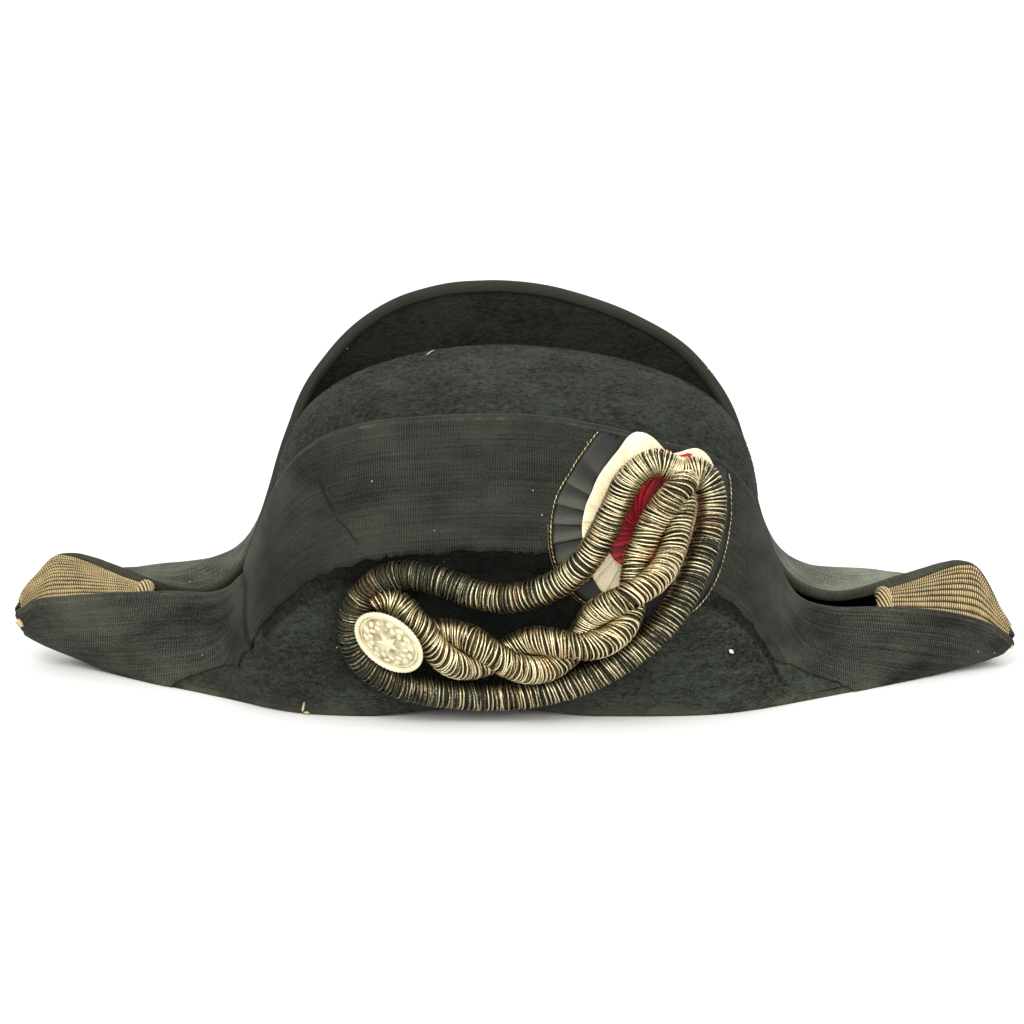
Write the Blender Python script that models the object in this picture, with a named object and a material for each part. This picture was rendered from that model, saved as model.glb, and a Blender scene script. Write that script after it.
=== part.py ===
"""A naval officer's cocked hat (a bicorne): one turned-up felt brim round a domed
crown, wide ribbed ribbon on both leaves, a pleated cockade, a bullion loop with a
twisted pair inside it, a gilt button and a flat bullion tassel in each point.

X runs along the hat, the near leaf with the cockade faces -Y, and +Z is up.
"""
import math
from collections import namedtuple

import bpy
import numpy as np
from mathutils import Vector
from mathutils.bvhtree import BVHTree

# Driving sizes of the felt body, in metres
HALF_LENGTH = 0.2255
HALF_WIDTH = 0.094
NEAR_HEIGHT = 0.131
FAR_HEIGHT = 0.159
FELT = 0.003
HEAD_LENGTH = 0.204
HEAD_WIDTH = 0.160
BRIM_DROP = 0.008
SEAT_WIDTH = 0.0045
ROLL_REACH = 0.018
FOLD_SINK = 0.0010
KEEL_START = 0.165
LEFT_LIFT = 0.0165
RIGHT_LIFT = 0.0070
LIFT_POWER = 1.6
ARCH_RISE = 0.0040
ARCH_HALF_SPAN = 0.068
ARCH_CENTRE = -0.014

# Crown
CROWN_HEIGHT = 0.132
CROWN_WALL = 0.0025
CROWN_AROUND = 32

# Ribbon
RIBBON_WIDTH = 0.057
RIBBON_THICK = 0.0008
FOLD_MARGIN = 0.009

# Cockade
COCKADE_CENTRE = (0.0548, 0.0850)
BLACK_RADIUS = 0.0398
BLACK_HOLE = 0.0130
WHITE_RADIUS = 0.0280
WHITE_HOLE = 0.0090
RED_RADIUS = 0.0170
RED_HOLE = 0.0020
CLOTH_THICK = 0.0007
PLEAT_DEPTH = 0.0004
BLACK_PLEATS = 18
WHITE_PLEATS = 14
RED_PLEATS = 10
PIPING_RADIUS = 0.0007
PIPING_REST = 0.0004
PIPING_TO_RIM = 0.003
PIPING_START = -225.0
PIPING_END = 45.0
PIPING_POINTS = 48
COCKADE_REST = 0.0010

# Bullion
LOOP_RADIUS = 0.0066
STRAND_RADIUS = 0.0060
TWIST_PITCH = 0.067
TWIST_START = 330.0
CORD_STEP = 0.009
STRAND_STEP = 0.0048

# Button
BUTTON_RADIUS = 0.0163
BUTTON_RIM = 0.0014
BUTTON_DEPTH = 0.0040
BUTTON_DOME = 0.0024
BUTTON_PLACE = (-0.0524, 0.0418)
BUTTON_LIFT = 0.0203
BUTTON_TILT = 36.0
BUTTON_TURN = 225.0
SHANK_RADIUS = 0.0022
SHANK_LENGTH = 0.0045

# Tassels
TASSEL_LENGTH = 0.052
TASSEL_THICK = 0.0065
TASSEL_EDGE = 0.0016
TASSEL_ARCH = 0.0030
TASSEL_RIDGES = 6
TASSEL_ROWS = 7
RIDGE_DEPTH = 0.0006
TASSEL_INSET = 0.0100
TASSEL_CLEAR = 0.0011

# Clearance between pieces that touch
GAP = 0.0003
# What stands above the rim leans on the leaf this far under it
RIM_MARGIN = 0.002

# Lowest line of the fold, seen from above: how far along the half length, and how far
# out on the left and on the right half of the hat, as shares of the half width
FoldRow = namedtuple("FoldRow", "along left right")
FOLD_ROWS = (
    FoldRow(0.000, 0.955, 0.955),
    FoldRow(0.200, 0.965, 0.965),
    FoldRow(0.310, 0.960, 0.960),
    FoldRow(0.390, 0.930, 0.930),
    FoldRow(0.445, 0.870, 0.875),
    FoldRow(0.495, 0.775, 0.800),
    FoldRow(0.555, 0.660, 0.705),
    FoldRow(0.655, 0.480, 0.540),
    FoldRow(0.765, 0.255, 0.335),
    FoldRow(0.865, 0.110, 0.175),
    FoldRow(0.935, 0.070, 0.105),
    FoldRow(0.985, 0.030, 0.035),
)

# One section of a leaf: where it leaves the fold, where its rim is, and how it swells.
# fold, rim_along: shares of the half length; rim_out, belly, curl: shares of the half
# width, measured away from the crown; rim_up: share of that leaf's height.
Section = namedtuple("Section", "fold rim_along rim_out rim_up belly curl")
NEAR_SECTIONS = (
    Section(-0.935, -0.945, 0.150, 0.236, 0.010, 0.0),
    Section(-0.865, -0.868, 0.225, 0.260, 0.030, 0.0),
    Section(-0.765, -0.770, 0.265, 0.282, 0.040, 0.0),
    Section(-0.655, -0.650, 0.270, 0.294, 0.030, 0.0),
    Section(-0.565, -0.565, 0.260, 0.300, 0.020, 0.0),
    Section(-0.500, -0.527, 0.330, 0.420, 0.110, 0.0),
    Section(-0.445, -0.477, 0.550, 0.655, 0.110, 0.0),
    Section(-0.385, -0.420, 0.720, 0.835, 0.080, 0.0),
    Section(-0.300, -0.325, 0.860, 0.945, 0.060, 0.0),
    Section(-0.190, -0.200, 0.910, 0.985, 0.055, 0.0),
    Section(-0.060, -0.060, 0.925, 1.000, 0.055, 0.0),
    Section(0.070, 0.070, 0.922, 0.990, 0.055, 0.0),
    Section(0.190, 0.200, 0.885, 0.943, 0.055, 0.0),
    Section(0.290, 0.315, 0.805, 0.875, 0.055, 0.0),
    Section(0.370, 0.400, 0.680, 0.808, 0.060, 0.0),
    Section(0.430, 0.460, 0.550, 0.665, 0.070, 0.0),
    Section(0.480, 0.500, 0.430, 0.490, 0.070, 0.0),
    Section(0.535, 0.538, 0.330, 0.325, 0.050, 0.0),
    Section(0.600, 0.597, 0.290, 0.250, 0.030, 0.0),
    Section(0.690, 0.690, 0.280, 0.240, 0.030, 0.0),
    Section(0.780, 0.780, 0.265, 0.230, 0.040, 0.0),
    Section(0.865, 0.868, 0.215, 0.202, 0.030, 0.0),
    Section(0.935, 0.945, 0.130, 0.147, 0.010, 0.0),
)
FAR_SECTIONS = (
    Section(-0.950, -0.965, 0.130, 0.236, 0.010, 0.00),
    Section(-0.900, -0.925, 0.235, 0.281, 0.030, 0.00),
    Section(-0.845, -0.860, 0.235, 0.281, 0.050, 0.04),
    Section(-0.765, -0.775, 0.110, 0.252, 0.060, 0.18),
    Section(-0.690, -0.700, -0.030, 0.229, 0.060, 0.32),
    Section(-0.620, -0.625, -0.120, 0.222, 0.050, 0.41),
    Section(-0.560, -0.562, -0.050, 0.245, 0.050, 0.34),
    Section(-0.505, -0.523, 0.220, 0.322, 0.080, 0.12),
    Section(-0.450, -0.485, 0.480, 0.497, 0.090, 0.02),
    Section(-0.395, -0.437, 0.620, 0.692, 0.070, 0.0),
    Section(-0.330, -0.357, 0.730, 0.847, 0.060, 0.0),
    Section(-0.250, -0.262, 0.800, 0.943, 0.055, 0.0),
    Section(-0.150, -0.153, 0.850, 0.990, 0.055, 0.0),
    Section(-0.040, -0.045, 0.870, 1.000, 0.055, 0.0),
    Section(0.070, 0.070, 0.865, 0.985, 0.055, 0.0),
    Section(0.170, 0.180, 0.840, 0.942, 0.055, 0.0),
    Section(0.260, 0.285, 0.785, 0.880, 0.055, 0.0),
    Section(0.340, 0.377, 0.700, 0.790, 0.060, 0.0),
    Section(0.405, 0.447, 0.575, 0.645, 0.070, 0.0),
    Section(0.460, 0.480, 0.445, 0.468, 0.080, 0.03),
    Section(0.515, 0.516, 0.180, 0.262, 0.070, 0.14),
    Section(0.575, 0.575, -0.080, 0.225, 0.050, 0.37),
    Section(0.640, 0.640, -0.090, 0.204, 0.050, 0.39),
    Section(0.710, 0.710, 0.030, 0.219, 0.060, 0.27),
    Section(0.780, 0.785, 0.150, 0.235, 0.060, 0.14),
    Section(0.855, 0.862, 0.220, 0.258, 0.050, 0.05),
    Section(0.910, 0.925, 0.220, 0.257, 0.030, 0.00),
    Section(0.952, 0.968, 0.110, 0.185, 0.010, 0.00),
)
LEFT_TIP = Section(-0.986, -0.999, 0.010, 0.170, 0.000, 0.0)
RIGHT_TIP = Section(0.980, 1.000, 0.010, 0.084, 0.000, 0.0)

# Crown, from its base ring to its top: shares of the height and of the ring's size
CrownRow = namedtuple("CrownRow", "up length width")
CROWN_ROWS = (
    CrownRow(0.000, 1.000, 1.000),
    CrownRow(0.180, 1.025, 1.000),
    CrownRow(0.400, 1.040, 0.990),
    CrownRow(0.580, 1.020, 0.970),
    CrownRow(0.700, 0.975, 0.940),
    CrownRow(0.800, 0.895, 0.885),
    CrownRow(0.880, 0.765, 0.790),
    CrownRow(0.940, 0.580, 0.630),
    CrownRow(0.980, 0.340, 0.390),
    CrownRow(1.000, 0.100, 0.115),
)

# Route of the bullion loop on the near leaf: along as a share of the half length, height as
# a share of the near leaf's height, and how high its centre stands off the leaf as a share
# of the loop's radius. The points are chosen by eye and read through a smooth curve.
CordPoint = namedtuple("CordPoint", "along up lift")
LOOP_ROUTE = (
    CordPoint(0.3104, 0.8321, 1.955),
    CordPoint(0.2661, 0.8664, 2.015),
    CordPoint(0.2195, 0.8244, 2.045),
    CordPoint(0.1907, 0.7366, 2.045),
    CordPoint(0.1641, 0.6412, 2.015),
    CordPoint(0.1286, 0.5458, 1.864),
    CordPoint(0.0687, 0.4656, 1.439),
    CordPoint(-0.0089, 0.4252, 1.076),
    CordPoint(-0.0754, 0.4389, 1.076),
    CordPoint(-0.1419, 0.4809, 1.076),
    CordPoint(-0.2173, 0.5000, 1.076),
    CordPoint(-0.2727, 0.4580, 1.076),
    CordPoint(-0.3060, 0.3740, 1.076),
    CordPoint(-0.3082, 0.2748, 1.076),
    CordPoint(-0.2772, 0.1908, 1.076),
    CordPoint(-0.2217, 0.1336, 1.076),
    CordPoint(-0.1419, 0.1008, 1.076),
    CordPoint(-0.0421, 0.0878, 1.076),
    CordPoint(0.0599, 0.1084, 1.076),
    CordPoint(0.1574, 0.1695, 1.152),
    CordPoint(0.2483, 0.2786, 1.470),
    CordPoint(0.3149, 0.4160, 1.803),
    CordPoint(0.3570, 0.5687, 1.833),
    CordPoint(0.3747, 0.6947, 1.833),
    CordPoint(0.3690, 0.7786, 1.894),
    CordPoint(0.3459, 0.8282, 1.924),
)

# Middle line of the twisted pair, from under the button to the top of the cockade
TWIST_ROUTE = (
    CordPoint(-0.2084, 0.3397, 1.879),
    CordPoint(-0.1774, 0.3206, 1.909),
    CordPoint(-0.1419, 0.2901, 1.939),
    CordPoint(-0.0998, 0.2580, 2.000),
    CordPoint(-0.0466, 0.2405, 2.061),
    CordPoint(0.0089, 0.2405, 2.106),
    CordPoint(0.0665, 0.2557, 2.182),
    CordPoint(0.1220, 0.2939, 2.333),
    CordPoint(0.1707, 0.3550, 2.636),
    CordPoint(0.2106, 0.4313, 2.864),
    CordPoint(0.2417, 0.5153, 3.015),
    CordPoint(0.2683, 0.6031, 3.091),
    CordPoint(0.2816, 0.6756, 3.333),
    CordPoint(0.2949, 0.7328, 3.667),
    CordPoint(0.3069, 0.7863, 3.970),
)


def clear_scene():
    """Remove whatever the file starts with."""
    for item in list(bpy.data.objects):
        bpy.data.objects.remove(item, do_unlink=True)


def finish(name, color, roughness, metallic=0.0):
    """A Principled material of one colour."""
    material = bpy.data.materials.new(name)
    material.use_nodes = True
    shader = material.node_tree.nodes["Principled BSDF"]
    shader.inputs["Base Color"].default_value = (*color, 1.0)
    shader.inputs["Roughness"].default_value = roughness
    shader.inputs["Metallic"].default_value = metallic
    return material


def add_mesh(name, points, faces, material):
    """A smooth-shaded mesh object from points and faces."""
    mesh = bpy.data.meshes.new(name)
    mesh.from_pydata([tuple(point) for point in points], [], faces)
    mesh.materials.append(material)
    mesh.shade_smooth()
    mesh.set_sharp_from_angle(angle=math.radians(40.0))
    item = bpy.data.objects.new(name, mesh)
    bpy.context.collection.objects.link(item)
    return item


def spline(controls, places):
    """Read smooth curves through control points.

    controls has shape (..., n, 3) and places are numbers from 0 to n - 1. Each curve is
    cubic between neighbours, with knots set by the square root of their distance.
    """
    controls = np.asarray(controls, float)
    gaps = np.linalg.norm(np.diff(controls, axis=-2), axis=-1)
    steps = np.sqrt(np.maximum(gaps, 1e-6))
    slopes = np.diff(controls, axis=-2) / steps[..., None]
    before = steps[..., :-1, None]
    after = steps[..., 1:, None]
    inner = (slopes[..., :-1, :] * after + slopes[..., 1:, :] * before) / (before + after)
    tangents = np.concatenate([slopes[..., :1, :], inner, slopes[..., -1:, :]], axis=-2)
    first = np.minimum(np.floor(places).astype(int), controls.shape[-2] - 2)
    part = (places - first)[..., None]
    span = steps[..., first, None]
    start = controls[..., first, :]
    end = controls[..., first + 1, :]
    leave = tangents[..., first, :] * span
    arrive = tangents[..., first + 1, :] * span
    return (
        (2 * part**3 - 3 * part**2 + 1) * start
        + (part**3 - 2 * part**2 + part) * leave
        + (3 * part**2 - 2 * part**3) * end
        + (part**3 - part**2) * arrive
    )


def ring_spline(rows, places):
    """Read a closed ring of rows of numbers at places, as a smooth curve."""
    count = len(rows)
    first = np.floor(places).astype(int)
    part = (places - first)[:, None]
    one = rows[(first - 1) % count]
    two = rows[first % count]
    three = rows[(first + 1) % count]
    four = rows[(first + 2) % count]
    return 0.5 * (
        2 * two
        + (three - one) * part
        + (2 * one - 5 * two + 4 * three - four) * part**2
        + (3 * two - one - 3 * three + four) * part**3
    )


def fold_out(along):
    """How far out the fold's lowest line lies, as a share of the half width."""
    places = np.array([row.along for row in FOLD_ROWS])
    outs = np.array([row.left if along < 0 else row.right for row in FOLD_ROWS])
    slopes = np.gradient(outs, places)
    share = min(abs(along), places[-1])
    first = min(int(np.searchsorted(places, share, side="right")) - 1, len(places) - 2)
    span = places[first + 1] - places[first]
    part = (share - places[first]) / span
    return (
        (2 * part**3 - 3 * part**2 + 1) * outs[first]
        + (part**3 - 2 * part**2 + part) * slopes[first] * span
        + (3 * part**2 - 2 * part**3) * outs[first + 1]
        + (part**3 - part**2) * slopes[first + 1] * span
    )


def keel_height(x):
    """Height of the underside's lowest line: it lifts to each tip and arches a little."""
    reach = np.clip((np.abs(x) - KEEL_START) / (HALF_LENGTH - KEEL_START), 0.0, 1.0)
    lift = np.where(x < 0, LEFT_LIFT, RIGHT_LIFT) * reach**LIFT_POWER
    swing = np.clip((x - ARCH_CENTRE) / ARCH_HALF_SPAN, -1.0, 1.0)
    arch = (ARCH_RISE + FOLD_SINK) * np.cos(0.5 * math.pi * swing) ** 2
    settle = FOLD_SINK * (1.0 - reach)
    return lift + arch - settle


def section_rows():
    """All sections round the brim, near leaf first, as one closed ring of numbers.

    Each row holds the fold's x, y and z, the rim's x, y and z, belly and curl in metres.
    """
    near = [(section, -1.0, NEAR_HEIGHT) for section in NEAR_SECTIONS]
    far = [(section, 1.0, FAR_HEIGHT) for section in reversed(FAR_SECTIONS)]
    ends = [(LEFT_TIP, -1.0, NEAR_HEIGHT)], [(RIGHT_TIP, -1.0, NEAR_HEIGHT)]
    rows = []
    for section, side, height in ends[0] + near + ends[1] + far:
        fold_x = section.fold * HALF_LENGTH
        fold_y = side * fold_out(section.fold) * HALF_WIDTH
        at_tip = section in (LEFT_TIP, RIGHT_TIP)
        rows.append((
            fold_x,
            0.0 if at_tip else fold_y,
            float(keel_height(fold_x)),
            section.rim_along * HALF_LENGTH,
            side * section.rim_out * HALF_WIDTH,
            section.rim_up * height,
            section.belly * HALF_WIDTH,
            section.curl * HALF_WIDTH,
        ))
    return np.array(rows)


def section_controls(rows):
    """Control points of every section, from the head opening to the rim.

    The order is opening edge, seat, roll, fold, belly, crest and rim.
    """
    fold = rows[:, 0:3].copy()
    rim = rows[:, 3:6]
    belly = rows[:, 6:7]
    curl = rows[:, 7:8]
    fold[:, 2] = keel_height(fold[:, 0])

    turn = np.arctan2(fold[:, 1] / HEAD_WIDTH, fold[:, 0] / HEAD_LENGTH)
    edge = np.stack([
        0.5 * HEAD_LENGTH * np.cos(turn),
        0.5 * HEAD_WIDTH * np.sin(turn),
        np.full(len(turn), BRIM_DROP),
    ], axis=1)
    out = np.stack([
        HEAD_WIDTH * np.cos(turn),
        HEAD_LENGTH * np.sin(turn),
        np.zeros(len(turn)),
    ], axis=1)
    out /= np.linalg.norm(out, axis=1, keepdims=True)
    seat = edge + out * SEAT_WIDTH

    run = fold - seat
    run[:, 2] = 0.0
    reach = np.linalg.norm(run, axis=1, keepdims=True)
    share = np.minimum(0.6, ROLL_REACH / reach)
    roll = seat + run * share
    floor = keel_height(roll[:, 0])
    blend = np.clip((reach[:, 0] - ROLL_REACH) / ROLL_REACH, 0.0, 1.0)
    near_fold = fold[:, 2] + 0.45 * (BRIM_DROP - fold[:, 2])
    roll[:, 2] = blend * floor + (1.0 - blend) * near_fold

    ahead = np.roll(fold, -1, axis=0) - np.roll(fold, 1, axis=0)
    outward = np.stack([ahead[:, 1], -ahead[:, 0], np.zeros(len(turn))], axis=1)
    outward /= np.linalg.norm(outward, axis=1, keepdims=True)

    up = np.array([0.0, 0.0, 1.0])
    upright = fold + 0.75 * (rim - fold) + outward * belly * 0.6
    curled = rim + outward * curl + up * curl * 0.12
    weight = np.clip(curl / (0.24 * HALF_WIDTH), 0.0, 1.0)
    crest = (1.0 - weight) * upright + weight * curled
    middle = fold + 0.45 * (crest - fold) + outward * belly
    return np.stack([edge, seat, roll, fold, middle, crest, rim], axis=1)


FOLD_PLACE = 3
RIM_PLACE = 6
UNDER_PLACES = np.array([0.0, 1.0, 2.0, 2.7, 3.0])
PLUSH_SHARES = np.array([0.05, 0.18, 0.52, 1.0])
EVEN_SHARES = np.array([0.25, 0.50, 0.75, 1.0])
RIBBON_SHARES = np.linspace(0.0, 1.0, 6)[1:]
RIBBON_ROW = len(UNDER_PLACES) + len(PLUSH_SHARES) - 1
STATIONS_PER_ROW = 1.08
STATIONS_PER_CURL = 1.1
CALM_PASSES = 3


def ring_places():
    """Places round the brim where its stations stand, in rows of the section table.

    They stand closer together where a rim turns over towards the crown.
    """
    curl = section_rows()[:, 7] / HALF_WIDTH
    turning = np.minimum(1.0, np.abs(np.roll(curl, -1) - curl) / 0.10)
    crowding = STATIONS_PER_ROW + STATIONS_PER_CURL * turning
    passed = np.concatenate([[0.0], np.cumsum(crowding)])
    count = round(passed[-1])
    stops = np.linspace(0.0, passed[-1], count, endpoint=False)
    return np.interp(stops, passed, np.arange(len(passed)))


def leaf_rows(controls):
    """Rows of the leaf above the fold, spaced by length along each section.

    One row lies where the ribbon's lower edge is, a ribbon's width below the rim.
    """
    fine = spline(controls, np.linspace(FOLD_PLACE, RIM_PLACE, 61))
    steps = np.linalg.norm(np.diff(fine, axis=1), axis=2)
    lengths = np.concatenate([np.zeros((len(fine), 1)), np.cumsum(steps, axis=1)], axis=1)
    count = len(PLUSH_SHARES) + len(RIBBON_SHARES)
    rows = np.zeros((len(fine), count, 3))
    for i, length in enumerate(lengths[:, -1]):
        edge = max(length - RIBBON_WIDTH, min(FOLD_MARGIN, 0.4 * length))
        tall = min(1.0, edge / RIBBON_WIDTH)
        stops = np.concatenate([
            (tall * PLUSH_SHARES + (1.0 - tall) * EVEN_SHARES) * edge,
            edge + RIBBON_SHARES * (length - edge),
        ])
        for axis in range(3):
            rows[i, :, axis] = np.interp(stops, lengths[i], fine[i, :, axis])
    return rows


def normals_of(grid, closed):
    """Unit normals of a grid of points, pointing away from the crown."""
    if closed:
        along = np.roll(grid, -1, axis=0) - np.roll(grid, 1, axis=0)
    else:
        along = np.gradient(grid, axis=0)
    across = np.gradient(grid, axis=1)
    normal = np.cross(across, along)
    normal /= np.maximum(np.linalg.norm(normal, axis=2, keepdims=True), 1e-9)
    return -normal


def closed_shell(outer, inner):
    """Points and faces of a wall between two grids that are closed along their rows."""
    count, depth = outer.shape[:2]
    points = np.concatenate([outer.reshape(-1, 3), inner.reshape(-1, 3)])
    shift = count * depth
    faces = []
    for i in range(count):
        after = (i + 1) % count
        for j in range(depth - 1):
            a = i * depth + j
            b = after * depth + j
            faces.append((a, b, b + 1, a + 1))
            faces.append((shift + a, shift + a + 1, shift + b + 1, shift + b))
        first, second = i * depth, after * depth
        faces.append((first, shift + first, shift + second, second))
        first, second = first + depth - 1, second + depth - 1
        faces.append((first, second, shift + second, shift + first))
    return points, faces


def open_shell(outer, inner):
    """Points and faces of a wall between two open grids, closed along its four edges."""
    count, depth = outer.shape[:2]
    points = np.concatenate([outer.reshape(-1, 3), inner.reshape(-1, 3)])
    shift = count * depth
    faces = []
    for i in range(count - 1):
        for j in range(depth - 1):
            a = i * depth + j
            b = a + depth
            faces.append((a, b, b + 1, a + 1))
            faces.append((shift + a, shift + a + 1, shift + b + 1, shift + b))
        a = i * depth
        b = a + depth
        faces.append((a, shift + a, shift + b, b))
        a += depth - 1
        b += depth - 1
        faces.append((a, b, shift + b, shift + a))
    for j in range(depth - 1):
        a = j
        faces.append((a, a + 1, shift + a + 1, shift + a))
        a = (count - 1) * depth + j
        faces.append((a, shift + a, shift + a + 1, a + 1))
    return points, faces


def calmed(rows, curl):
    """Leaf rows with their wrinkles smoothed where the rim curls over the trough."""
    share = np.clip(curl / (0.10 * HALF_WIDTH), 0.0, 1.0)[:, None, None]
    for _ in range(CALM_PASSES):
        middle = 0.5 * (np.roll(rows, 1, axis=0) + np.roll(rows, -1, axis=0))
        rows = rows + 0.5 * share * (middle - rows)
    return rows


def brim_skins():
    """Outer and inner skin of the brim. Where it rests, the outer skin is flat."""
    rows = ring_spline(section_rows(), ring_places())
    controls = section_controls(rows)
    leaf = calmed(leaf_rows(controls), rows[:, 7])
    outer = np.concatenate([spline(controls, UNDER_PLACES), leaf], axis=1)
    outer[..., 2] = np.maximum(outer[..., 2], 0.0)
    inner = outer - normals_of(outer, closed=True) * FELT
    return outer, inner


def make_brim(material):
    """The one-piece brim: near leaf, far leaf, both points and the head opening."""
    outer, inner = brim_skins()
    points, faces = closed_shell(outer, inner)
    return add_mesh("brim", points, faces, material)


def make_crown(material):
    """The hollow crown, seated on the brim round the head opening."""
    around = CROWN_AROUND
    turns = np.linspace(0.0, 2.0 * math.pi, around, endpoint=False)
    base = BRIM_DROP + FELT + GAP
    half_length = 0.5 * HEAD_LENGTH + CROWN_WALL
    half_width = 0.5 * HEAD_WIDTH + CROWN_WALL
    ups = np.array([row.up for row in CROWN_ROWS])
    lengths = np.array([row.length for row in CROWN_ROWS])
    widths = np.array([row.width for row in CROWN_ROWS])
    outer = np.stack([
        half_length * lengths[None, :] * np.cos(turns)[:, None],
        half_width * widths[None, :] * np.sin(turns)[:, None],
        base + CROWN_HEIGHT * np.repeat(ups[None, :], around, axis=0),
    ], axis=2)
    slope = np.gradient(outer, axis=1)
    along = np.roll(outer, -1, axis=0) - np.roll(outer, 1, axis=0)
    normal = np.cross(along, slope)
    normal /= np.linalg.norm(normal, axis=2, keepdims=True)
    normal[:, 0, 2] = 0.0
    normal[:, 0] /= np.linalg.norm(normal[:, 0], axis=1, keepdims=True)
    inner = outer - normal * CROWN_WALL

    rows = len(CROWN_ROWS)
    top = np.array([[0.0, 0.0, base + CROWN_HEIGHT]])
    under = top - np.array([[0.0, 0.0, CROWN_WALL]])
    points = np.concatenate([outer.reshape(-1, 3), inner.reshape(-1, 3), top, under])
    shift = around * rows
    faces = []
    for i in range(around):
        after = (i + 1) % around
        for j in range(rows - 1):
            a, b = i * rows + j, after * rows + j
            faces.append((a, b, b + 1, a + 1))
            faces.append((shift + a, shift + a + 1, shift + b + 1, shift + b))
        a, b = i * rows, after * rows
        faces.append((a, shift + a, shift + b, b))
        a, b = a + rows - 1, b + rows - 1
        faces.append((a, b, 2 * shift))
        faces.append((shift + b, shift + a, 2 * shift + 1))
    return add_mesh("crown", points, faces, material)


def make_ribbon(name, stations, material):
    """The wide ribbon on a leaf: it starts at the rim and keeps its width to the tips."""
    outer, inner = brim_skins()
    grid = outer[stations, RIBBON_ROW:]
    normal = (outer - inner)[stations, RIBBON_ROW:]
    normal /= np.linalg.norm(normal, axis=2, keepdims=True)
    under = grid + normal * GAP
    upper = under + normal * RIBBON_THICK
    upper[..., 2] = np.maximum(upper[..., 2], 0.0)
    points, faces = open_shell(upper, under)
    return add_mesh(name, points, faces, material)


class NearFace:
    """The outer face of the near leaf, asked for points that stand off it."""

    def __init__(self):
        rows = section_rows()
        places = np.linspace(1.0, len(NEAR_SECTIONS) * 1.0, 140)
        controls = section_controls_at(rows, places)
        grid = spline(controls, np.linspace(FOLD_PLACE - 0.4, RIM_PLACE, 60))
        self.rim = grid[:, -1]
        count, depth = grid.shape[:2]
        faces = []
        for i in range(count - 1):
            for j in range(depth - 1):
                a = i * depth + j
                faces.append((a, a + depth, a + depth + 1, a + 1))
        self.tree = BVHTree.FromPolygons([tuple(p) for p in grid.reshape(-1, 3)], faces)

    def rim_height(self, x):
        """Height of the leaf's rim at a place along the hat."""
        return float(np.interp(x, self.rim[:, 0], self.rim[:, 2]))

    def stand(self, x, z, lift):
        """Point at x and z that stands off the leaf by lift, and the leaf's normal."""
        reach = min(z, self.rim_height(x) - RIM_MARGIN)
        start = Vector((x, -1.0, reach))
        hit, normal, _, _ = self.tree.ray_cast(start, Vector((0.0, 1.0, 0.0)))
        if normal.y > 0:
            normal = -normal
        slant = max(-normal.y, 0.5)
        return Vector((x, hit.y - lift / slant, z)), normal


def section_controls_at(rows, places):
    """Section controls at chosen places, worked out beside their neighbours."""
    step = 0.05
    before = ring_spline(rows, places - step)
    here = ring_spline(rows, places)
    after = ring_spline(rows, places + step)
    triples = np.stack([before, here, after], axis=1).reshape(-1, rows.shape[1])
    return section_controls(triples)[1::3]


def make_pleated_disc(name, face, hole, radius, base_lift, pleats, rings, clip, material):
    """A pleated disc or ring of cloth that lies on the near leaf.

    Its thickness grows outwards from base_lift, and its top waves with the pleats. With
    clip, the part above the leaf's rim is drawn back to the rim.
    """
    centre_x, centre_z = COCKADE_CENTRE
    around = pleats * 3
    turns = np.linspace(2.0 * math.pi, 0.0, around, endpoint=False)
    radii = np.linspace(hole, radius, rings)
    grids = []
    for level in (0.0, CLOTH_THICK):
        grid = np.zeros((around, rings, 3))
        for i, turn in enumerate(turns):
            for j, reach in enumerate(radii):
                x = centre_x + reach * math.cos(turn)
                z = centre_z + reach * math.sin(turn)
                if clip:
                    z = min(z, face.rim_height(x) - 0.0010)
                wave = PLEAT_DEPTH * (1.0 + math.cos(pleats * turn)) * (j / (rings - 1))
                grid[i, j] = face.stand(x, z, base_lift + wave + level)[0]
        grids.append(grid)
    points, faces = closed_shell(grids[1], grids[0])
    return add_mesh(name, points, faces, material)


def make_piping(face, material):
    """The thin gilt cord sewn round the cockade's edge, where the leaf carries it."""
    centre_x, centre_z = COCKADE_CENTRE
    reach = BLACK_RADIUS + PIPING_RADIUS + GAP
    lift = RIBBON_THICK + 2 * GAP + PIPING_RADIUS + PIPING_REST
    points = []
    for turn in np.radians(np.linspace(PIPING_START, PIPING_END, PIPING_POINTS)):
        x = centre_x + reach * math.cos(turn)
        z = centre_z + reach * math.sin(turn)
        if z < face.rim_height(x) - PIPING_TO_RIM:
            points.append(face.stand(x, z, lift)[0])
    return add_tube("cockade_piping", points, PIPING_RADIUS, 2, False, material)


def add_tube(name, points, radius, resolution, cyclic, material):
    """A round tube along points, with filled caps where it is open."""
    curve = bpy.data.curves.new(name, "CURVE")
    curve.dimensions = "3D"
    curve.bevel_depth = radius
    curve.bevel_resolution = resolution
    curve.use_fill_caps = True
    curve.twist_mode = "MINIMUM"
    line = curve.splines.new("POLY")
    line.points.add(len(points) - 1)
    for slot, point in zip(line.points, points):
        slot.co = (*point, 1.0)
    line.use_cyclic_u = cyclic
    line.use_smooth = True
    curve.materials.append(material)
    item = bpy.data.objects.new(name, curve)
    bpy.context.collection.objects.link(item)
    return item


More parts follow.
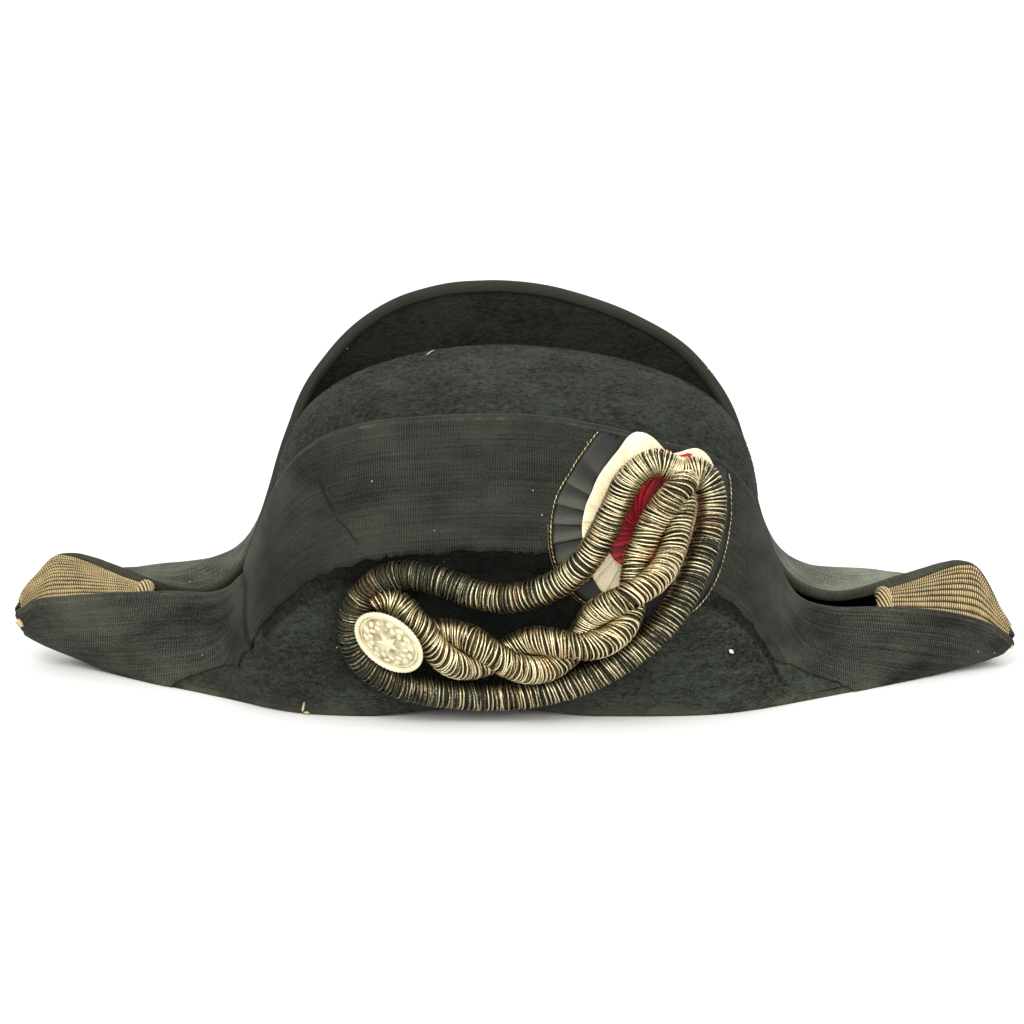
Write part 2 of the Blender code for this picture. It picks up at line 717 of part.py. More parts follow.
def even_points(points, step, cyclic):
    """Points a step apart on a smooth curve through chosen points."""
    knots = np.array([tuple(point) for point in points])
    if cyclic:
        fine = ring_spline(knots, np.linspace(0.0, len(knots), 40 * len(knots)))
    else:
        fine = spline(knots, np.linspace(0.0, len(knots) - 1.0, 40 * len(knots)))
    lengths = np.concatenate([[0.0], np.cumsum(np.linalg.norm(np.diff(fine, axis=0), axis=1))])
    count = max(4, round(lengths[-1] / step))
    stops = np.linspace(0.0, lengths[-1], count, endpoint=not cyclic)
    return np.stack([np.interp(stops, lengths, fine[:, axis]) for axis in range(3)], axis=1)


def cord_stands(face, route):
    """The route's points stood off the leaf."""
    return [
        face.stand(point.along * HALF_LENGTH, point.up * NEAR_HEIGHT, point.lift * LOOP_RADIUS)[0]
        for point in route
    ]


def make_loop(face, material):
    """The thick bullion loop, a closed ring laid on the leaf and the cockade."""
    points = even_points(cord_stands(face, LOOP_ROUTE), CORD_STEP, cyclic=True)
    return add_tube("bullion_loop", points, LOOP_RADIUS, 2, True, material)


def make_twist(face, material):
    """Two bullion cords wound round each other inside the loop."""
    middle = even_points(cord_stands(face, TWIST_ROUTE), STRAND_STEP, cyclic=False)
    ahead = np.gradient(middle, axis=0)
    ahead /= np.linalg.norm(ahead, axis=1, keepdims=True)
    out = np.array([0.0, -1.0, 0.0])
    side = np.cross(ahead, out)
    side /= np.linalg.norm(side, axis=1, keepdims=True)
    rise = np.cross(side, ahead)
    reach = STRAND_RADIUS + GAP
    travelled = np.arange(len(middle)) * STRAND_STEP
    for number, name in enumerate(("bullion_twist_a", "bullion_twist_b")):
        angle = math.radians(TWIST_START) + math.pi * number - 2 * math.pi * travelled / TWIST_PITCH
        points = (
            middle
            + side * (reach * np.cos(angle))[:, None]
            + rise * (reach * np.sin(angle))[:, None]
        )
        add_tube(name, points, STRAND_RADIUS, 2, False, material)


def make_button(face, material):
    """The domed gilt button with its rolled rim, and the shank that holds it."""
    profile = [
        (0.0, BUTTON_DEPTH + BUTTON_DOME),
        (0.45, BUTTON_DEPTH + BUTTON_DOME * 0.80),
        (0.80, BUTTON_DEPTH + BUTTON_DOME * 0.35),
        (1.0, BUTTON_DEPTH),
    ]
    inside = BUTTON_RADIUS - 2 * BUTTON_RIM
    outline = [(share * inside, height) for share, height in profile[1:]]
    for turn in (150.0, 90.0, 30.0, -30.0):
        outline.append((
            BUTTON_RADIUS - BUTTON_RIM + BUTTON_RIM * math.cos(math.radians(turn)),
            BUTTON_DEPTH + BUTTON_RIM * math.sin(math.radians(turn)),
        ))
    outline.append((BUTTON_RADIUS * 0.86, BUTTON_DEPTH * 0.35))
    outline.append((BUTTON_RADIUS * 0.45, 0.0))
    outline.append((SHANK_RADIUS, 0.0))
    outline.append((SHANK_RADIUS, -SHANK_LENGTH))
    around = 24
    points = [(0.0, 0.0, profile[0][1])]
    for radius, height in outline:
        for i in range(around):
            turn = 2 * math.pi * i / around
            points.append((radius * math.cos(turn), radius * math.sin(turn), height))
    faces = [(0, 1 + i, 1 + (i + 1) % around) for i in range(around)]
    for ring in range(len(outline) - 1):
        for i in range(around):
            a = 1 + ring * around + i
            b = 1 + ring * around + (i + 1) % around
            faces.append((a, a + around, b + around, b))
    last = 1 + (len(outline) - 1) * around
    faces.append(tuple(last + i for i in reversed(range(around))))

    place, _ = face.stand(*BUTTON_PLACE, BUTTON_LIFT)
    lean = math.radians(BUTTON_TILT)
    turn = math.radians(BUTTON_TURN)
    normal = Vector((
        math.sin(lean) * math.cos(turn),
        -math.cos(lean),
        math.sin(lean) * math.sin(turn),
    ))
    spin = normal.to_track_quat("Z", "X").to_matrix().to_4x4()
    item = add_mesh("button", points, faces, material)
    item.matrix_world = spin
    item.location = place
    return item


def trough_edges(places):
    """Points just inside the near rim and the far rim, at places along the hat."""
    outer, inner = brim_skins()
    inward = inner[:, -1] - outer[:, -1]
    clear = inner[:, -1] + inward * (TASSEL_CLEAR / FELT)
    near = ring_places() < len(NEAR_SECTIONS) + 1
    edges = []
    for leaf in (clear[near], clear[~near]):
        line = leaf[np.argsort(leaf[:, 0])]
        edges.append(np.stack([
            places,
            np.interp(places, line[:, 0], line[:, 1]),
            np.interp(places, line[:, 0], line[:, 2]),
        ], axis=1))
    return edges


def make_tassel(name, side, material):
    """The flat bullion tassel that fills a point between the rims, ridged lengthwise.

    Its edges follow both rims, its middle stands up a little, and its inner end is rounded.
    """
    shares = np.linspace(0.0, 1.0, TASSEL_ROWS)
    places = side * (HALF_LENGTH - TASSEL_INSET - TASSEL_LENGTH * shares)
    near, far = trough_edges(places)
    columns = 2 * TASSEL_RIDGES + 1
    across = np.linspace(0.0, 1.0, columns)
    swell = np.sin(math.pi * across)
    ridge = np.where(np.arange(columns) % 2 == 0, -RIDGE_DEPTH, 0.0)
    top = near[:, None] + (far - near)[:, None] * across[None, :, None]
    thick = TASSEL_EDGE + (TASSEL_THICK - TASSEL_EDGE) * swell
    drop = 0.45 * thick * np.clip((shares[:, None] - 0.75) / 0.25, 0.0, 1.0) ** 2
    upper = top.copy()
    upper[..., 2] += TASSEL_ARCH * swell + ridge - drop
    lower = top.copy()
    lower[..., 2] += TASSEL_ARCH * swell - RIDGE_DEPTH - thick + drop
    lower[:, 0] += (lower[:, 1] - lower[:, 0]) * 0.4
    lower[:, -1] += (lower[:, -2] - lower[:, -1]) * 0.4
    if side > 0:
        upper, lower = upper[::-1], lower[::-1]
    points, faces = open_shell(upper, lower)
    return add_mesh(name, points, faces, material)


def stand_on_origin():
    """Move every piece so that the box of the whole hat stands on the origin."""
    bpy.context.view_layer.update()
    depsgraph = bpy.context.evaluated_depsgraph_get()
    corners = []
    for item in bpy.data.objects:
        solid = item.evaluated_get(depsgraph)
        mesh = solid.to_mesh()
        corners.extend(solid.matrix_world @ vertex.co for vertex in mesh.vertices)
        solid.to_mesh_clear()
    box = np.array([tuple(corner) for corner in corners])
    low, high = box.min(axis=0), box.max(axis=0)
    shift = Vector((0.5 * (low[0] + high[0]), 0.5 * (low[1] + high[1]), low[2]))
    for item in bpy.data.objects:
        item.location = item.location - shift


def main():
    """Build every piece of the hat."""
    clear_scene()
    plush = finish("black_plush", (0.045, 0.050, 0.042), 0.9)
    felt = finish("black_felt", (0.035, 0.038, 0.033), 0.85)
    silk = finish("ribbed_silk", (0.060, 0.065, 0.052), 0.6)
    black = finish("cockade_black_silk", (0.040, 0.042, 0.040), 0.5)
    white = finish("cockade_cream_silk", (0.85, 0.80, 0.62), 0.6)
    red = finish("cockade_red_silk", (0.35, 0.01, 0.03), 0.5)
    bullion = finish("bullion_wire", (0.42, 0.37, 0.24), 0.35, 0.9)
    gilt = finish("pale_gilt", (0.80, 0.70, 0.44), 0.35, 0.9)
    tassel_gold = finish("tassel_gold", (0.42, 0.32, 0.14), 0.5, 0.5)

    make_brim(felt)
    make_crown(plush)
    split = len(NEAR_SECTIONS) + 1
    stations = ring_places()
    near_places = np.flatnonzero((stations > 0.6) & (stations < split - 0.6))
    far_places = np.flatnonzero((stations > split + 0.6) & (stations < stations[-1] - 0.2))
    make_ribbon("near_ribbon", near_places, silk)
    make_ribbon("far_ribbon", far_places, silk)

    face = NearFace()
    ground = RIBBON_THICK + COCKADE_REST
    layer = CLOTH_THICK + 2 * PLEAT_DEPTH + GAP
    make_pleated_disc(
        "cockade_black", face, BLACK_HOLE, BLACK_RADIUS, ground, BLACK_PLEATS, 4, True, black
    )
    make_pleated_disc(
        "cockade_white", face, WHITE_HOLE, WHITE_RADIUS, ground + layer, WHITE_PLEATS, 3, False,
        white,
    )
    make_pleated_disc(
        "cockade_red", face, RED_HOLE, RED_RADIUS, ground + 2 * layer, RED_PLEATS, 3, False, red
    )
    make_piping(face, bullion)
    make_loop(face, bullion)
    make_twist(face, bullion)
    make_button(face, gilt)

    make_tassel("left_tassel", -1.0, tassel_gold)
    make_tassel("right_tassel", 1.0, tassel_gold)
    stand_on_origin()


main()
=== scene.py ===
"""The looks of a black cocked hat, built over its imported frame.

The hat stands by itself: a felt brim turned up in two leaves round a domed crown, plush on
the felt, a wide ribbed ribbon on each leaf, a pleated cockade, a bullion loop with a
twisted pair inside it, a gilt button and a wound tassel in each point. X runs along the
hat, the leaf with the cockade faces -Y and +Z is up. Sizes are metres.
"""

from __future__ import annotations

import logging
import math
from collections.abc import Callable
from dataclasses import dataclass, field
from enum import Enum
from functools import partial
from itertools import starmap
from typing import NamedTuple

import bmesh
import bpy
import numpy as np
from bpy.types import Material, Node, NodeTree, Object
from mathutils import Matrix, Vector


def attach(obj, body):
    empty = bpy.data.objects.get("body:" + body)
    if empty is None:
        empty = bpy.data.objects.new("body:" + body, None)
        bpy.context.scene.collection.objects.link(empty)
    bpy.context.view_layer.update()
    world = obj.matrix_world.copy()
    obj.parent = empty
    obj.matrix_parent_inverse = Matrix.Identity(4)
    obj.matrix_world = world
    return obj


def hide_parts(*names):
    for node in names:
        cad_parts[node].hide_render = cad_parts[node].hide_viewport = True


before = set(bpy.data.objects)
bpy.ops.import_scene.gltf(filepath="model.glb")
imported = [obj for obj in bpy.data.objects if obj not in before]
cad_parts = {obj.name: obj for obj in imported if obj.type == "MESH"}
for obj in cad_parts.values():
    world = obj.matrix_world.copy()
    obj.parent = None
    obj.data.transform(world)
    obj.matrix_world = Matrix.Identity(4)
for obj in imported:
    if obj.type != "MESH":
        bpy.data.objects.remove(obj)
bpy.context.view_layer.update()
LOG = logging.getLogger("cocked_hat")

MM = 0.001
# From the tables below, which have the crown's axis at x 0 and y 0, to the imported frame
TO_FRAME = np.array([0.00004, 0.01752, 0.0])
# Cloth lies this far off what is under it
GAP = 0.0003
# Points closer than this are welded
WELD = 1e-7
UP = np.array([0.0, 0.0, 1.0])
Pair = tuple[np.ndarray, np.ndarray]


class Side(Enum):
    """Which end of the hat a piece is on."""

    LEFT = -1.0
    RIGHT = 1.0


class Crease(NamedTuple):
    """A soft valley or ridge pressed in the near leaf, from one (x, z) to another, in mm."""

    x0: float
    z0: float
    x1: float
    z1: float
    depth: float
    width: float


# Curves and surfaces


def circle(count: int) -> np.ndarray:
    """Angles evenly round a whole turn, from 0."""
    return np.linspace(0.0, 2.0 * math.pi, count, endpoint=False)


def mix(low: np.ndarray, high: np.ndarray, part: np.ndarray) -> np.ndarray:
    """The value a part of the way from low to high."""
    return low * (1 - part) + high * part


def cell_value(grid: np.ndarray, i: np.ndarray, j: np.ndarray, a: np.ndarray, b: np.ndarray) -> np.ndarray:
    """The grid's value at parts a and b of the way over its cells i, j, even between corners."""
    return mix(mix(grid[i, j], grid[i + 1, j], a), mix(grid[i, j + 1], grid[i + 1, j + 1], a), b)


def read_points(stops: np.ndarray, passed: np.ndarray, line: np.ndarray) -> np.ndarray:
    """Points of a line at stops along it, even between its own points."""
    return np.stack([np.interp(stops, passed, line[:, axis]) for axis in range(3)], axis=1)


def closing(travelled: np.ndarray, length: float, reach: float) -> np.ndarray:
    """Share of a tube's radius: both ends close on a quarter ellipse as long as reach."""
    from_end = np.minimum(travelled, length - travelled) / reach
    return np.sqrt(np.clip(1.0 - (1.0 - np.minimum(from_end, 1.0)) ** 2, 0.0, 1.0))


def cubic(part: np.ndarray, span: np.ndarray, ends: Pair, slopes: Pair) -> np.ndarray:
    """Cubic between two values a and b with slopes p and q over a span s, at a part t of it.

    (2t^3 - 3t^2 + 1) a + (t^3 - 2t^2 + t) p s + (3t^2 - 2t^3) b + (t^3 - t^2) q s.

    Args:
        part: from 0 to 1.
        span: the distance between the values.
        ends: a and b.
        slopes: p and q.

    Returns:
        One value a part.
    """
    return (
        (2 * part**3 - 3 * part**2 + 1) * ends[0]
        + (part**3 - 2 * part**2 + part) * slopes[0] * span
        + (3 * part**2 - 2 * part**3) * ends[1]
        + (part**3 - part**2) * slopes[1] * span
    )


def ring_spline(rows: np.ndarray, places: np.ndarray) -> np.ndarray:
    """Read a closed ring of rows as a smooth curve.

    Between rows 2 and 3 of four neighbours the value is half of 2b + (c - a)t +
    (2a - 5b + 4c - d)t^2 + (3b - a - 3c + d)t^3.

    Args:
        rows: values in ring order, of any shape after the first axis.
        places: numbers from 0 to the count of rows.

    Returns:
        One value a place.
    """
    count = len(rows)
    first = np.floor(places).astype(int)
    part = (places - first).reshape((-1,) + (1,) * (rows.ndim - 1))
    one, two, three, four = (rows[(first + step) % count] for step in (-1, 0, 1, 2))
    return 0.5 * (
        2 * two
        + (three - one) * part
        + (2 * one - 5 * two + 4 * three - four) * part**2
        + (3 * two - one - 3 * three + four) * part**3
    )


def spline(controls: np.ndarray, places: np.ndarray) -> np.ndarray:
    """Read smooth curves through control points.

    Each span is a cubic through its two ends, whose tangents weigh the slopes on both
    sides by the square root of the distance to the next point.

    Args:
        controls: points of shape (..., n, 3).
        places: numbers from 0 to n - 1.

    Returns:
        Points of shape (..., len(places), 3).
    """
    gaps = np.linalg.norm(np.diff(controls, axis=-2), axis=-1)
    steps = np.sqrt(np.maximum(gaps, 1e-6))
    slopes = np.diff(controls, axis=-2) / steps[..., None]
    before = steps[..., :-1, None]
    after = steps[..., 1:, None]
    inner = (slopes[..., :-1, :] * after + slopes[..., 1:, :] * before) / (before + after)
    tangents = np.concatenate([slopes[..., :1, :], inner, slopes[..., -1:, :]], axis=-2)
    first = np.minimum(np.floor(places).astype(int), controls.shape[-2] - 2)
    ends, leaving = ([values[..., first + k, :] for k in (0, 1)] for values in (controls, tangents))
    return cubic((places - first)[..., None], steps[..., first, None], ends, leaving)


def run_lengths(points: np.ndarray) -> np.ndarray:
    """Length along each line of points, from 0 at its first point.

    Args:
        points: of shape (lines, points, 3).

    Returns:
        Lengths of shape (lines, points).
    """
    steps = np.linalg.norm(np.diff(points, axis=-2), axis=-1)
    zero = np.zeros(steps.shape[:-1] + (1,))
    return np.concatenate([zero, np.cumsum(steps, axis=-1)], axis=-1)


def unit(vectors: np.ndarray) -> np.ndarray:
    """The vectors at length one."""
    return vectors / np.maximum(np.linalg.norm(vectors, axis=-1, keepdims=True), 1e-12)


def smooth_step(low: float, high: float, value: np.ndarray) -> np.ndarray:
    """3t^2 - 2t^3, where t goes from 0 at low to 1 at high."""
    t = np.clip((value - low) / (high - low), 0.0, 1.0)
    return t * t * (3.0 - 2.0 * t)


def lattice_noise(u: np.ndarray, v: np.ndarray, seed: int) -> np.ndarray:
    """Smooth noise from -1 to 1: random values on whole numbers, blended by 3t^2 - 2t^3.

    Args:
        u: first coordinate, one cell a unit.
        v: second coordinate.
        seed: which noise.

    Returns:
        One value a point.
    """
    table = np.random.default_rng(seed).uniform(-1.0, 1.0, (256, 256))
    iu, iv = np.floor(u).astype(int), np.floor(v).astype(int)
    fu, fv = u - iu, v - iv
    fu, fv = fu * fu * (3 - 2 * fu), fv * fv * (3 - 2 * fv)
    rows = (iv % 256, (iv + 1) % 256)
    near, far = (mix(table[iu % 256, row], table[(iu + 1) % 256, row], fu) for row in rows)
    return mix(near, far, fv)


# Meshes


def grid_faces(rows: int, columns: int, wrap_rows: bool, wrap_columns: bool) -> np.ndarray:
    """Corners of the quads between neighbours of a grid stored row by row.

    Args:
        rows: points along the first parameter.
        columns: points along the second parameter.
        wrap_rows: the last row meets the first.
        wrap_columns: the last column meets the first.

    Returns:
        An array of shape (n, 4).
    """
    i = np.arange(rows if wrap_rows else rows - 1)[:, None]
    j = np.arange(columns if wrap_columns else columns - 1)[None, :]
    i2, j2 = (i + 1) % rows, (j + 1) % columns
    corners = [i * columns + j, i2 * columns + j, i2 * columns + j2, i * columns + j2]
    return np.stack(np.broadcast_arrays(*corners), -1).reshape(-1, 4)


@dataclass
class Sheet:
    """Points, quads, one UV a point and one tone a point, gathered before they are a mesh."""

    points: list[np.ndarray] = field(default_factory=list)
    faces: list[np.ndarray] = field(default_factory=list)
    uvs: list[np.ndarray] = field(default_factory=list)
    tones: list[np.ndarray] = field(default_factory=list)
    count: int = 0

    def add(
        self, points: np.ndarray, faces: np.ndarray,
        uv: np.ndarray | None = None, tone: np.ndarray | None = None,
    ) -> None:
        """Add points, given from the crown's axis, and the faces between them.

        Args:
            points: any shape that ends in 3.
            faces: corners counted within these points.
            uv: cloth coordinates in metres, one pair a point.
            tone: one number from 0 to 1 a point.
        """
        flat = points.reshape(-1, 3) + TO_FRAME
        self.points.append(flat)
        self.faces.append(faces + self.count)
        self.uvs.append(np.zeros((len(flat), 2)) if uv is None else uv.reshape(-1, 2))
        self.tones.append(np.full(len(flat), 0.5) if tone is None else tone.reshape(-1))
        self.count += len(flat)

    def shell(
        self, upper: np.ndarray, lower: np.ndarray, uv: np.ndarray, ring: bool, tone: np.ndarray
    ) -> None:
        """Add a closed wall between two grids of the same shape.

        Args:
            upper: the skin that is seen.
            lower: the skin behind it.
            uv: cloth coordinates of both skins.
            ring: the rows close into a ring, so only two edges need a wall.
            tone: one number a point of both skins, the upper one first.
        """
        rows, columns = upper.shape[:2]
        shift = rows * columns
        skin = grid_faces(rows, columns, ring, False)
        edge = np.arange(rows if ring else rows - 1) * columns
        after = (edge + columns) % shift if ring else edge + columns
        last = columns - 1
        walls = [
            skin,
            skin[:, ::-1] + shift,
            np.stack([edge, edge + shift, after + shift, after], 1),
            np.stack([edge + last, after + last, after + last + shift, edge + last + shift], 1),
        ]
        if not ring:
            a = np.arange(last)
            b = a + (rows - 1) * columns
            walls.append(np.stack([a, a + 1, a + 1 + shift, a + shift], 1))
            walls.append(np.stack([b, b + shift, b + 1 + shift, b + 1], 1))
        self.add(np.stack([upper, lower]), np.concatenate(walls), np.stack([uv, uv]), tone)

    def build(
        self, name: str, finish: Material, slot: str = "", node: str = "", weld: bool = False
    ) -> Object:
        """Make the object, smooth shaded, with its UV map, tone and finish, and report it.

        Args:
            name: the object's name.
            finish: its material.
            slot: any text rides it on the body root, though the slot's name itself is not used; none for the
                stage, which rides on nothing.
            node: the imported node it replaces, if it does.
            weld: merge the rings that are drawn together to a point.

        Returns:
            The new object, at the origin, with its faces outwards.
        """
        points, faces = np.concatenate(self.points), self.faces
        if sum(signed_volume(points, part) for part in faces) < 0:
            faces = [part[:, ::-1] for part in faces]
        mesh = bpy.data.meshes.new(name)
        mesh.from_pydata(points.tolist(), [], [face for part in faces for face in part.tolist()])
        corner = np.zeros(len(mesh.loops), np.int32)
        mesh.loops.foreach_get("vertex_index", corner)
        layer = mesh.uv_layers.new(name="cloth")
        layer.data.foreach_set("uv", np.concatenate(self.uvs)[corner].astype(np.float32).ravel())
        tone = mesh.attributes.new("tone", "FLOAT", "POINT")
        tone.data.foreach_set("value", np.concatenate(self.tones).astype(np.float32))
        mesh.materials.append(finish)
        if weld:
            body = bmesh.new()
            body.from_mesh(mesh)
            bmesh.ops.remove_doubles(body, verts=body.verts, dist=WELD)
            bmesh.ops.dissolve_degenerate(body, edges=body.edges, dist=WELD)
            body.to_mesh(mesh)
            body.free()
        mesh.shade_smooth()
        mesh.update()
        item = bpy.data.objects.new(name, mesh)
        bpy.context.collection.objects.link(item)
        if slot:
            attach(item, "root")
        if node:
            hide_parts(node)
        LOG.info("%s: %d faces", name, len(mesh.polygons))
        return item


def signed_volume(points: np.ndarray, faces: np.ndarray) -> float:
    """Volume inside the faces, below 0 where they face inwards: a sum over their fans.

    Args:
        points: the corners.
        faces: corner numbers, outwards.

    Returns:
        The volume in cubic metres.
    """
    corners = [points[faces[:, k]] for k in range(faces.shape[1])]
    fans = zip(corners[1:-1], corners[2:])
    return float(sum(np.einsum("ij,ij->i", corners[0], np.cross(b, c)).sum() for b, c in fans) / 6)


def carried_frame(line: np.ndarray, cyclic: bool) -> tuple[np.ndarray, np.ndarray, np.ndarray]:
    """Directions along, across and out of a line that runs over the near leaf.

    Across is along x (0, -1, 0) at length one, and out is across x along, so out leans
    with the line and never spins.

    Args:
        line: points of shape (n, 3).
        cyclic: the line is a ring.

    Returns:
        Three arrays of unit vectors.
    """
    if cyclic:
        along = unit(np.roll(line, -1, axis=0) - np.roll(line, 1, axis=0))
    else:
        along = unit(np.gradient(line, axis=0))
    across = unit(np.cross(along, np.array([0.0, -1.0, 0.0])))
    return along, across, np.cross(across, along)


# Finishes


def linear(code: str) -> tuple[float, float, float, float]:
    """An sRGB hex code as linear red, green, blue and 1.

    Args:
        code: six hex digits after a hash.

    Returns:
        The colour as nodes take it.
    """
    parts = np.array([int(code[k:k + 2], 16) for k in (1, 3, 5)]) / 255.0
    flat = np.where(parts <= 0.04045, parts / 12.92, ((parts + 0.055) / 1.055) ** 2.4)
    return (*(float(v) for v in flat), 1.0)


BLEND = {"data_type": "RGBA"}
SMOOTH = {"interpolation_type": "SMOOTHSTEP"}
PLUS = {"operation": "ADD"}
MINUS = {"operation": "SUBTRACT"}
TIMES = {"operation": "MULTIPLY"}
TIMES_PLUS = {"operation": "MULTIPLY_ADD"}
UNDER = {"operation": "LESS_THAN"}
SINE = {"operation": "SINE"}
WITHOUT_SIGN = {"operation": "ABSOLUTE"}
DOT = {"operation": "DOT_PRODUCT"}
TONE = {"attribute_name": "tone"}
# How a finish adds nodes to its own tree: put, with the tree filled in
Adder = Callable[..., Node]
# An output of a node by its name
Output = tuple[Node, str]


def put(
    tree: NodeTree, kind: str, settings: dict | None, *values: object, **inputs: object
) -> Node:
    """Add one node with its settings and links.

    Args:
        tree: the material's node tree.
        kind: the node's type name after "ShaderNode".
        settings: attributes of the node itself.
        *values: for each input in turn a value, a node, or a (node, output name) pair.
        **inputs: the same for inputs by name, with an underscore for a space.

    Returns:
        The node.
    """
    node = tree.nodes.new("ShaderNode" + kind)
    for key, value in (settings or {}).items():
        setattr(node, key, value)
    sockets = list(zip((socket for socket in node.inputs if socket.enabled), values))
    sockets += [(node.inputs[key.replace("_", " ")], value) for key, value in inputs.items()]
    for socket, value in sockets:
        if isinstance(value, Node):
            tree.links.new(next(output for output in value.outputs if output.enabled), socket)
        elif isinstance(value, tuple) and isinstance(value[0], Node):
            tree.links.new(value[0].outputs[value[1]], socket)
        else:
            socket.default_value = value
    return node


def grain(
    add: Adder, vector: Output, scale: float | tuple[float, ...], detail: float = 2.0, rough: float = 0.5
) -> Node:
    """A noise whose features measure 1 / scale metres, along all axes or along each."""
    moved = add("Mapping", None, vector, Scale=scale if isinstance(scale, tuple) else (scale,) * 3)
    return add("TexNoise", None, moved, Scale=1.0, Detail=detail, Roughness=rough)


def sway(add: Adder, start: object, *patterns: tuple[object, float]) -> object:
    """Start plus each pattern's distance from one half, times its amount.

    Args:
        add: adds a node.
        start: the value in the middle.
        patterns: pairs of a pattern and its amount.

    Returns:
        The socket with the sum.
    """
    for pattern, amount in patterns:
        start = add("Math", TIMES_PLUS, add("Math", MINUS, pattern, 0.5), amount, start)
    return start


def swing(add: Adder, start: object, *patterns: tuple[object, float]) -> Node:
    """A pattern of start times one plus each pattern's share of its swing round one half."""
    return add("Math", {**TIMES, "use_clamp": True}, start, sway(add, 1.0, *patterns))


def pressed(add: Adder, here: Output, seam: Crease) -> Node:
    """The pattern of painted shade along a pressed seam: depth near the segment, falling to 0 at its width.

    Args:
        add: adds a node to the material.
        here: Object coordinates.
        seam: its ends in (x, z) and its width, in mm, and how dark it is as depth.

    Returns:
        The node that gives the amount.
    """
    run = np.array([seam.x1 - seam.x0, 0.0, seam.z1 - seam.z0]) * MM
    length = float(np.linalg.norm(run))
    ahead = run / length
    beside = np.array([-ahead[2], 0.0, ahead[0]])
    start = np.array([seam.x0, 0.0, seam.z0]) * MM + TO_FRAME * (1, 0, 1)
    moved = add("VectorMath", MINUS, here, tuple(start))
    away = (add("VectorMath", DOT, moved, tuple(beside)), "Value")
    wavering = sway(add, away, (grain(add, here, 120), 0.004))
    along = (add("VectorMath", DOT, moved, tuple(ahead)), "Value")
    starts = add("MapRange", SMOOTH, along, 0.0, 0.2 * length, 0.0, 1.0)
    ends = add("MapRange", SMOOTH, along, length, 0.8 * length, 0.0, 1.0)
    off = add("Math", WITHOUT_SIGN, wavering)
    line = add("MapRange", SMOOTH, off, seam.width * MM, 0.0, 0.0, seam.depth)
    return add("Math", TIMES, line, add("Math", TIMES, starts, ends))


def lint(add: Adder, here: Output, colour: object) -> Node:
    """Colour with sparse pale specks 0.5 mm wide: one cell in fifty has one.

    Args:
        add: adds a node to the material.
        here: Object coordinates.
        colour: the colour under the specks.

    Returns:
        The node that gives the colour.
    """
    cells = add("TexVoronoi", {"feature": "F1"}, here, Scale=260.0)
    pick = add("SeparateColor", None, (cells, "Color"))
    chosen = add("Math", UNDER, (pick, "Red"), 0.02)
    small = add("Math", UNDER, (cells, "Distance"), 0.09)
    speck = add("Math", TIMES, add("Math", TIMES, chosen, small), 0.7)
    return add("Mix", BLEND, speck, colour, linear("#b9b49c"))


@dataclass(frozen=True)
class Finish:
    """A procedural material: one shader, whose inputs each kind of finish works out."""

    name: str

    def make(self) -> Material:
        """The material, with this finish's nodes alone.

        Returns:
            A new material under this finish's name.
        """
        material = bpy.data.materials.new(self.name)
        material.use_nodes = True
        material.node_tree.nodes.clear()
        add = partial(put, material.node_tree)
        place = add("TexCoord", None)
        inputs = self.inputs(add, (place, "Object"), (place, "UV"))
        add("OutputMaterial", None, add("BsdfPrincipled", None, **inputs))
        return material

    def inputs(self, add: Adder, here: Output, cloth: Output) -> dict[str, object]:
        """The shader's inputs by name.

        Args:
            add: adds a node to the material.
            here: Object coordinates.
            cloth: run and width along the cloth, in metres.

        Returns:
            Each input's value or the node that gives it.
        """
        raise NotImplementedError


# The felt body and what is sewn to it


class Fold(NamedTuple):
    """The fold's lowest line from above: shares of the half length and half width."""

    along: float
    left: float
    right: float


class Section(NamedTuple):
    """One section of a leaf.

    fold and rim_along are shares of the half length, rim_out, belly and curl are shares of
    the half width, measured away from the crown, and rim_up is a share of that leaf's height.
    """

    fold: float
    rim_along: float
    rim_out: float
    rim_up: float
    belly: float
    curl: float


class Ring(NamedTuple):
    """One level of the crown: shares of its height and of its base ring's size."""

    up: float
    length: float
    width: float


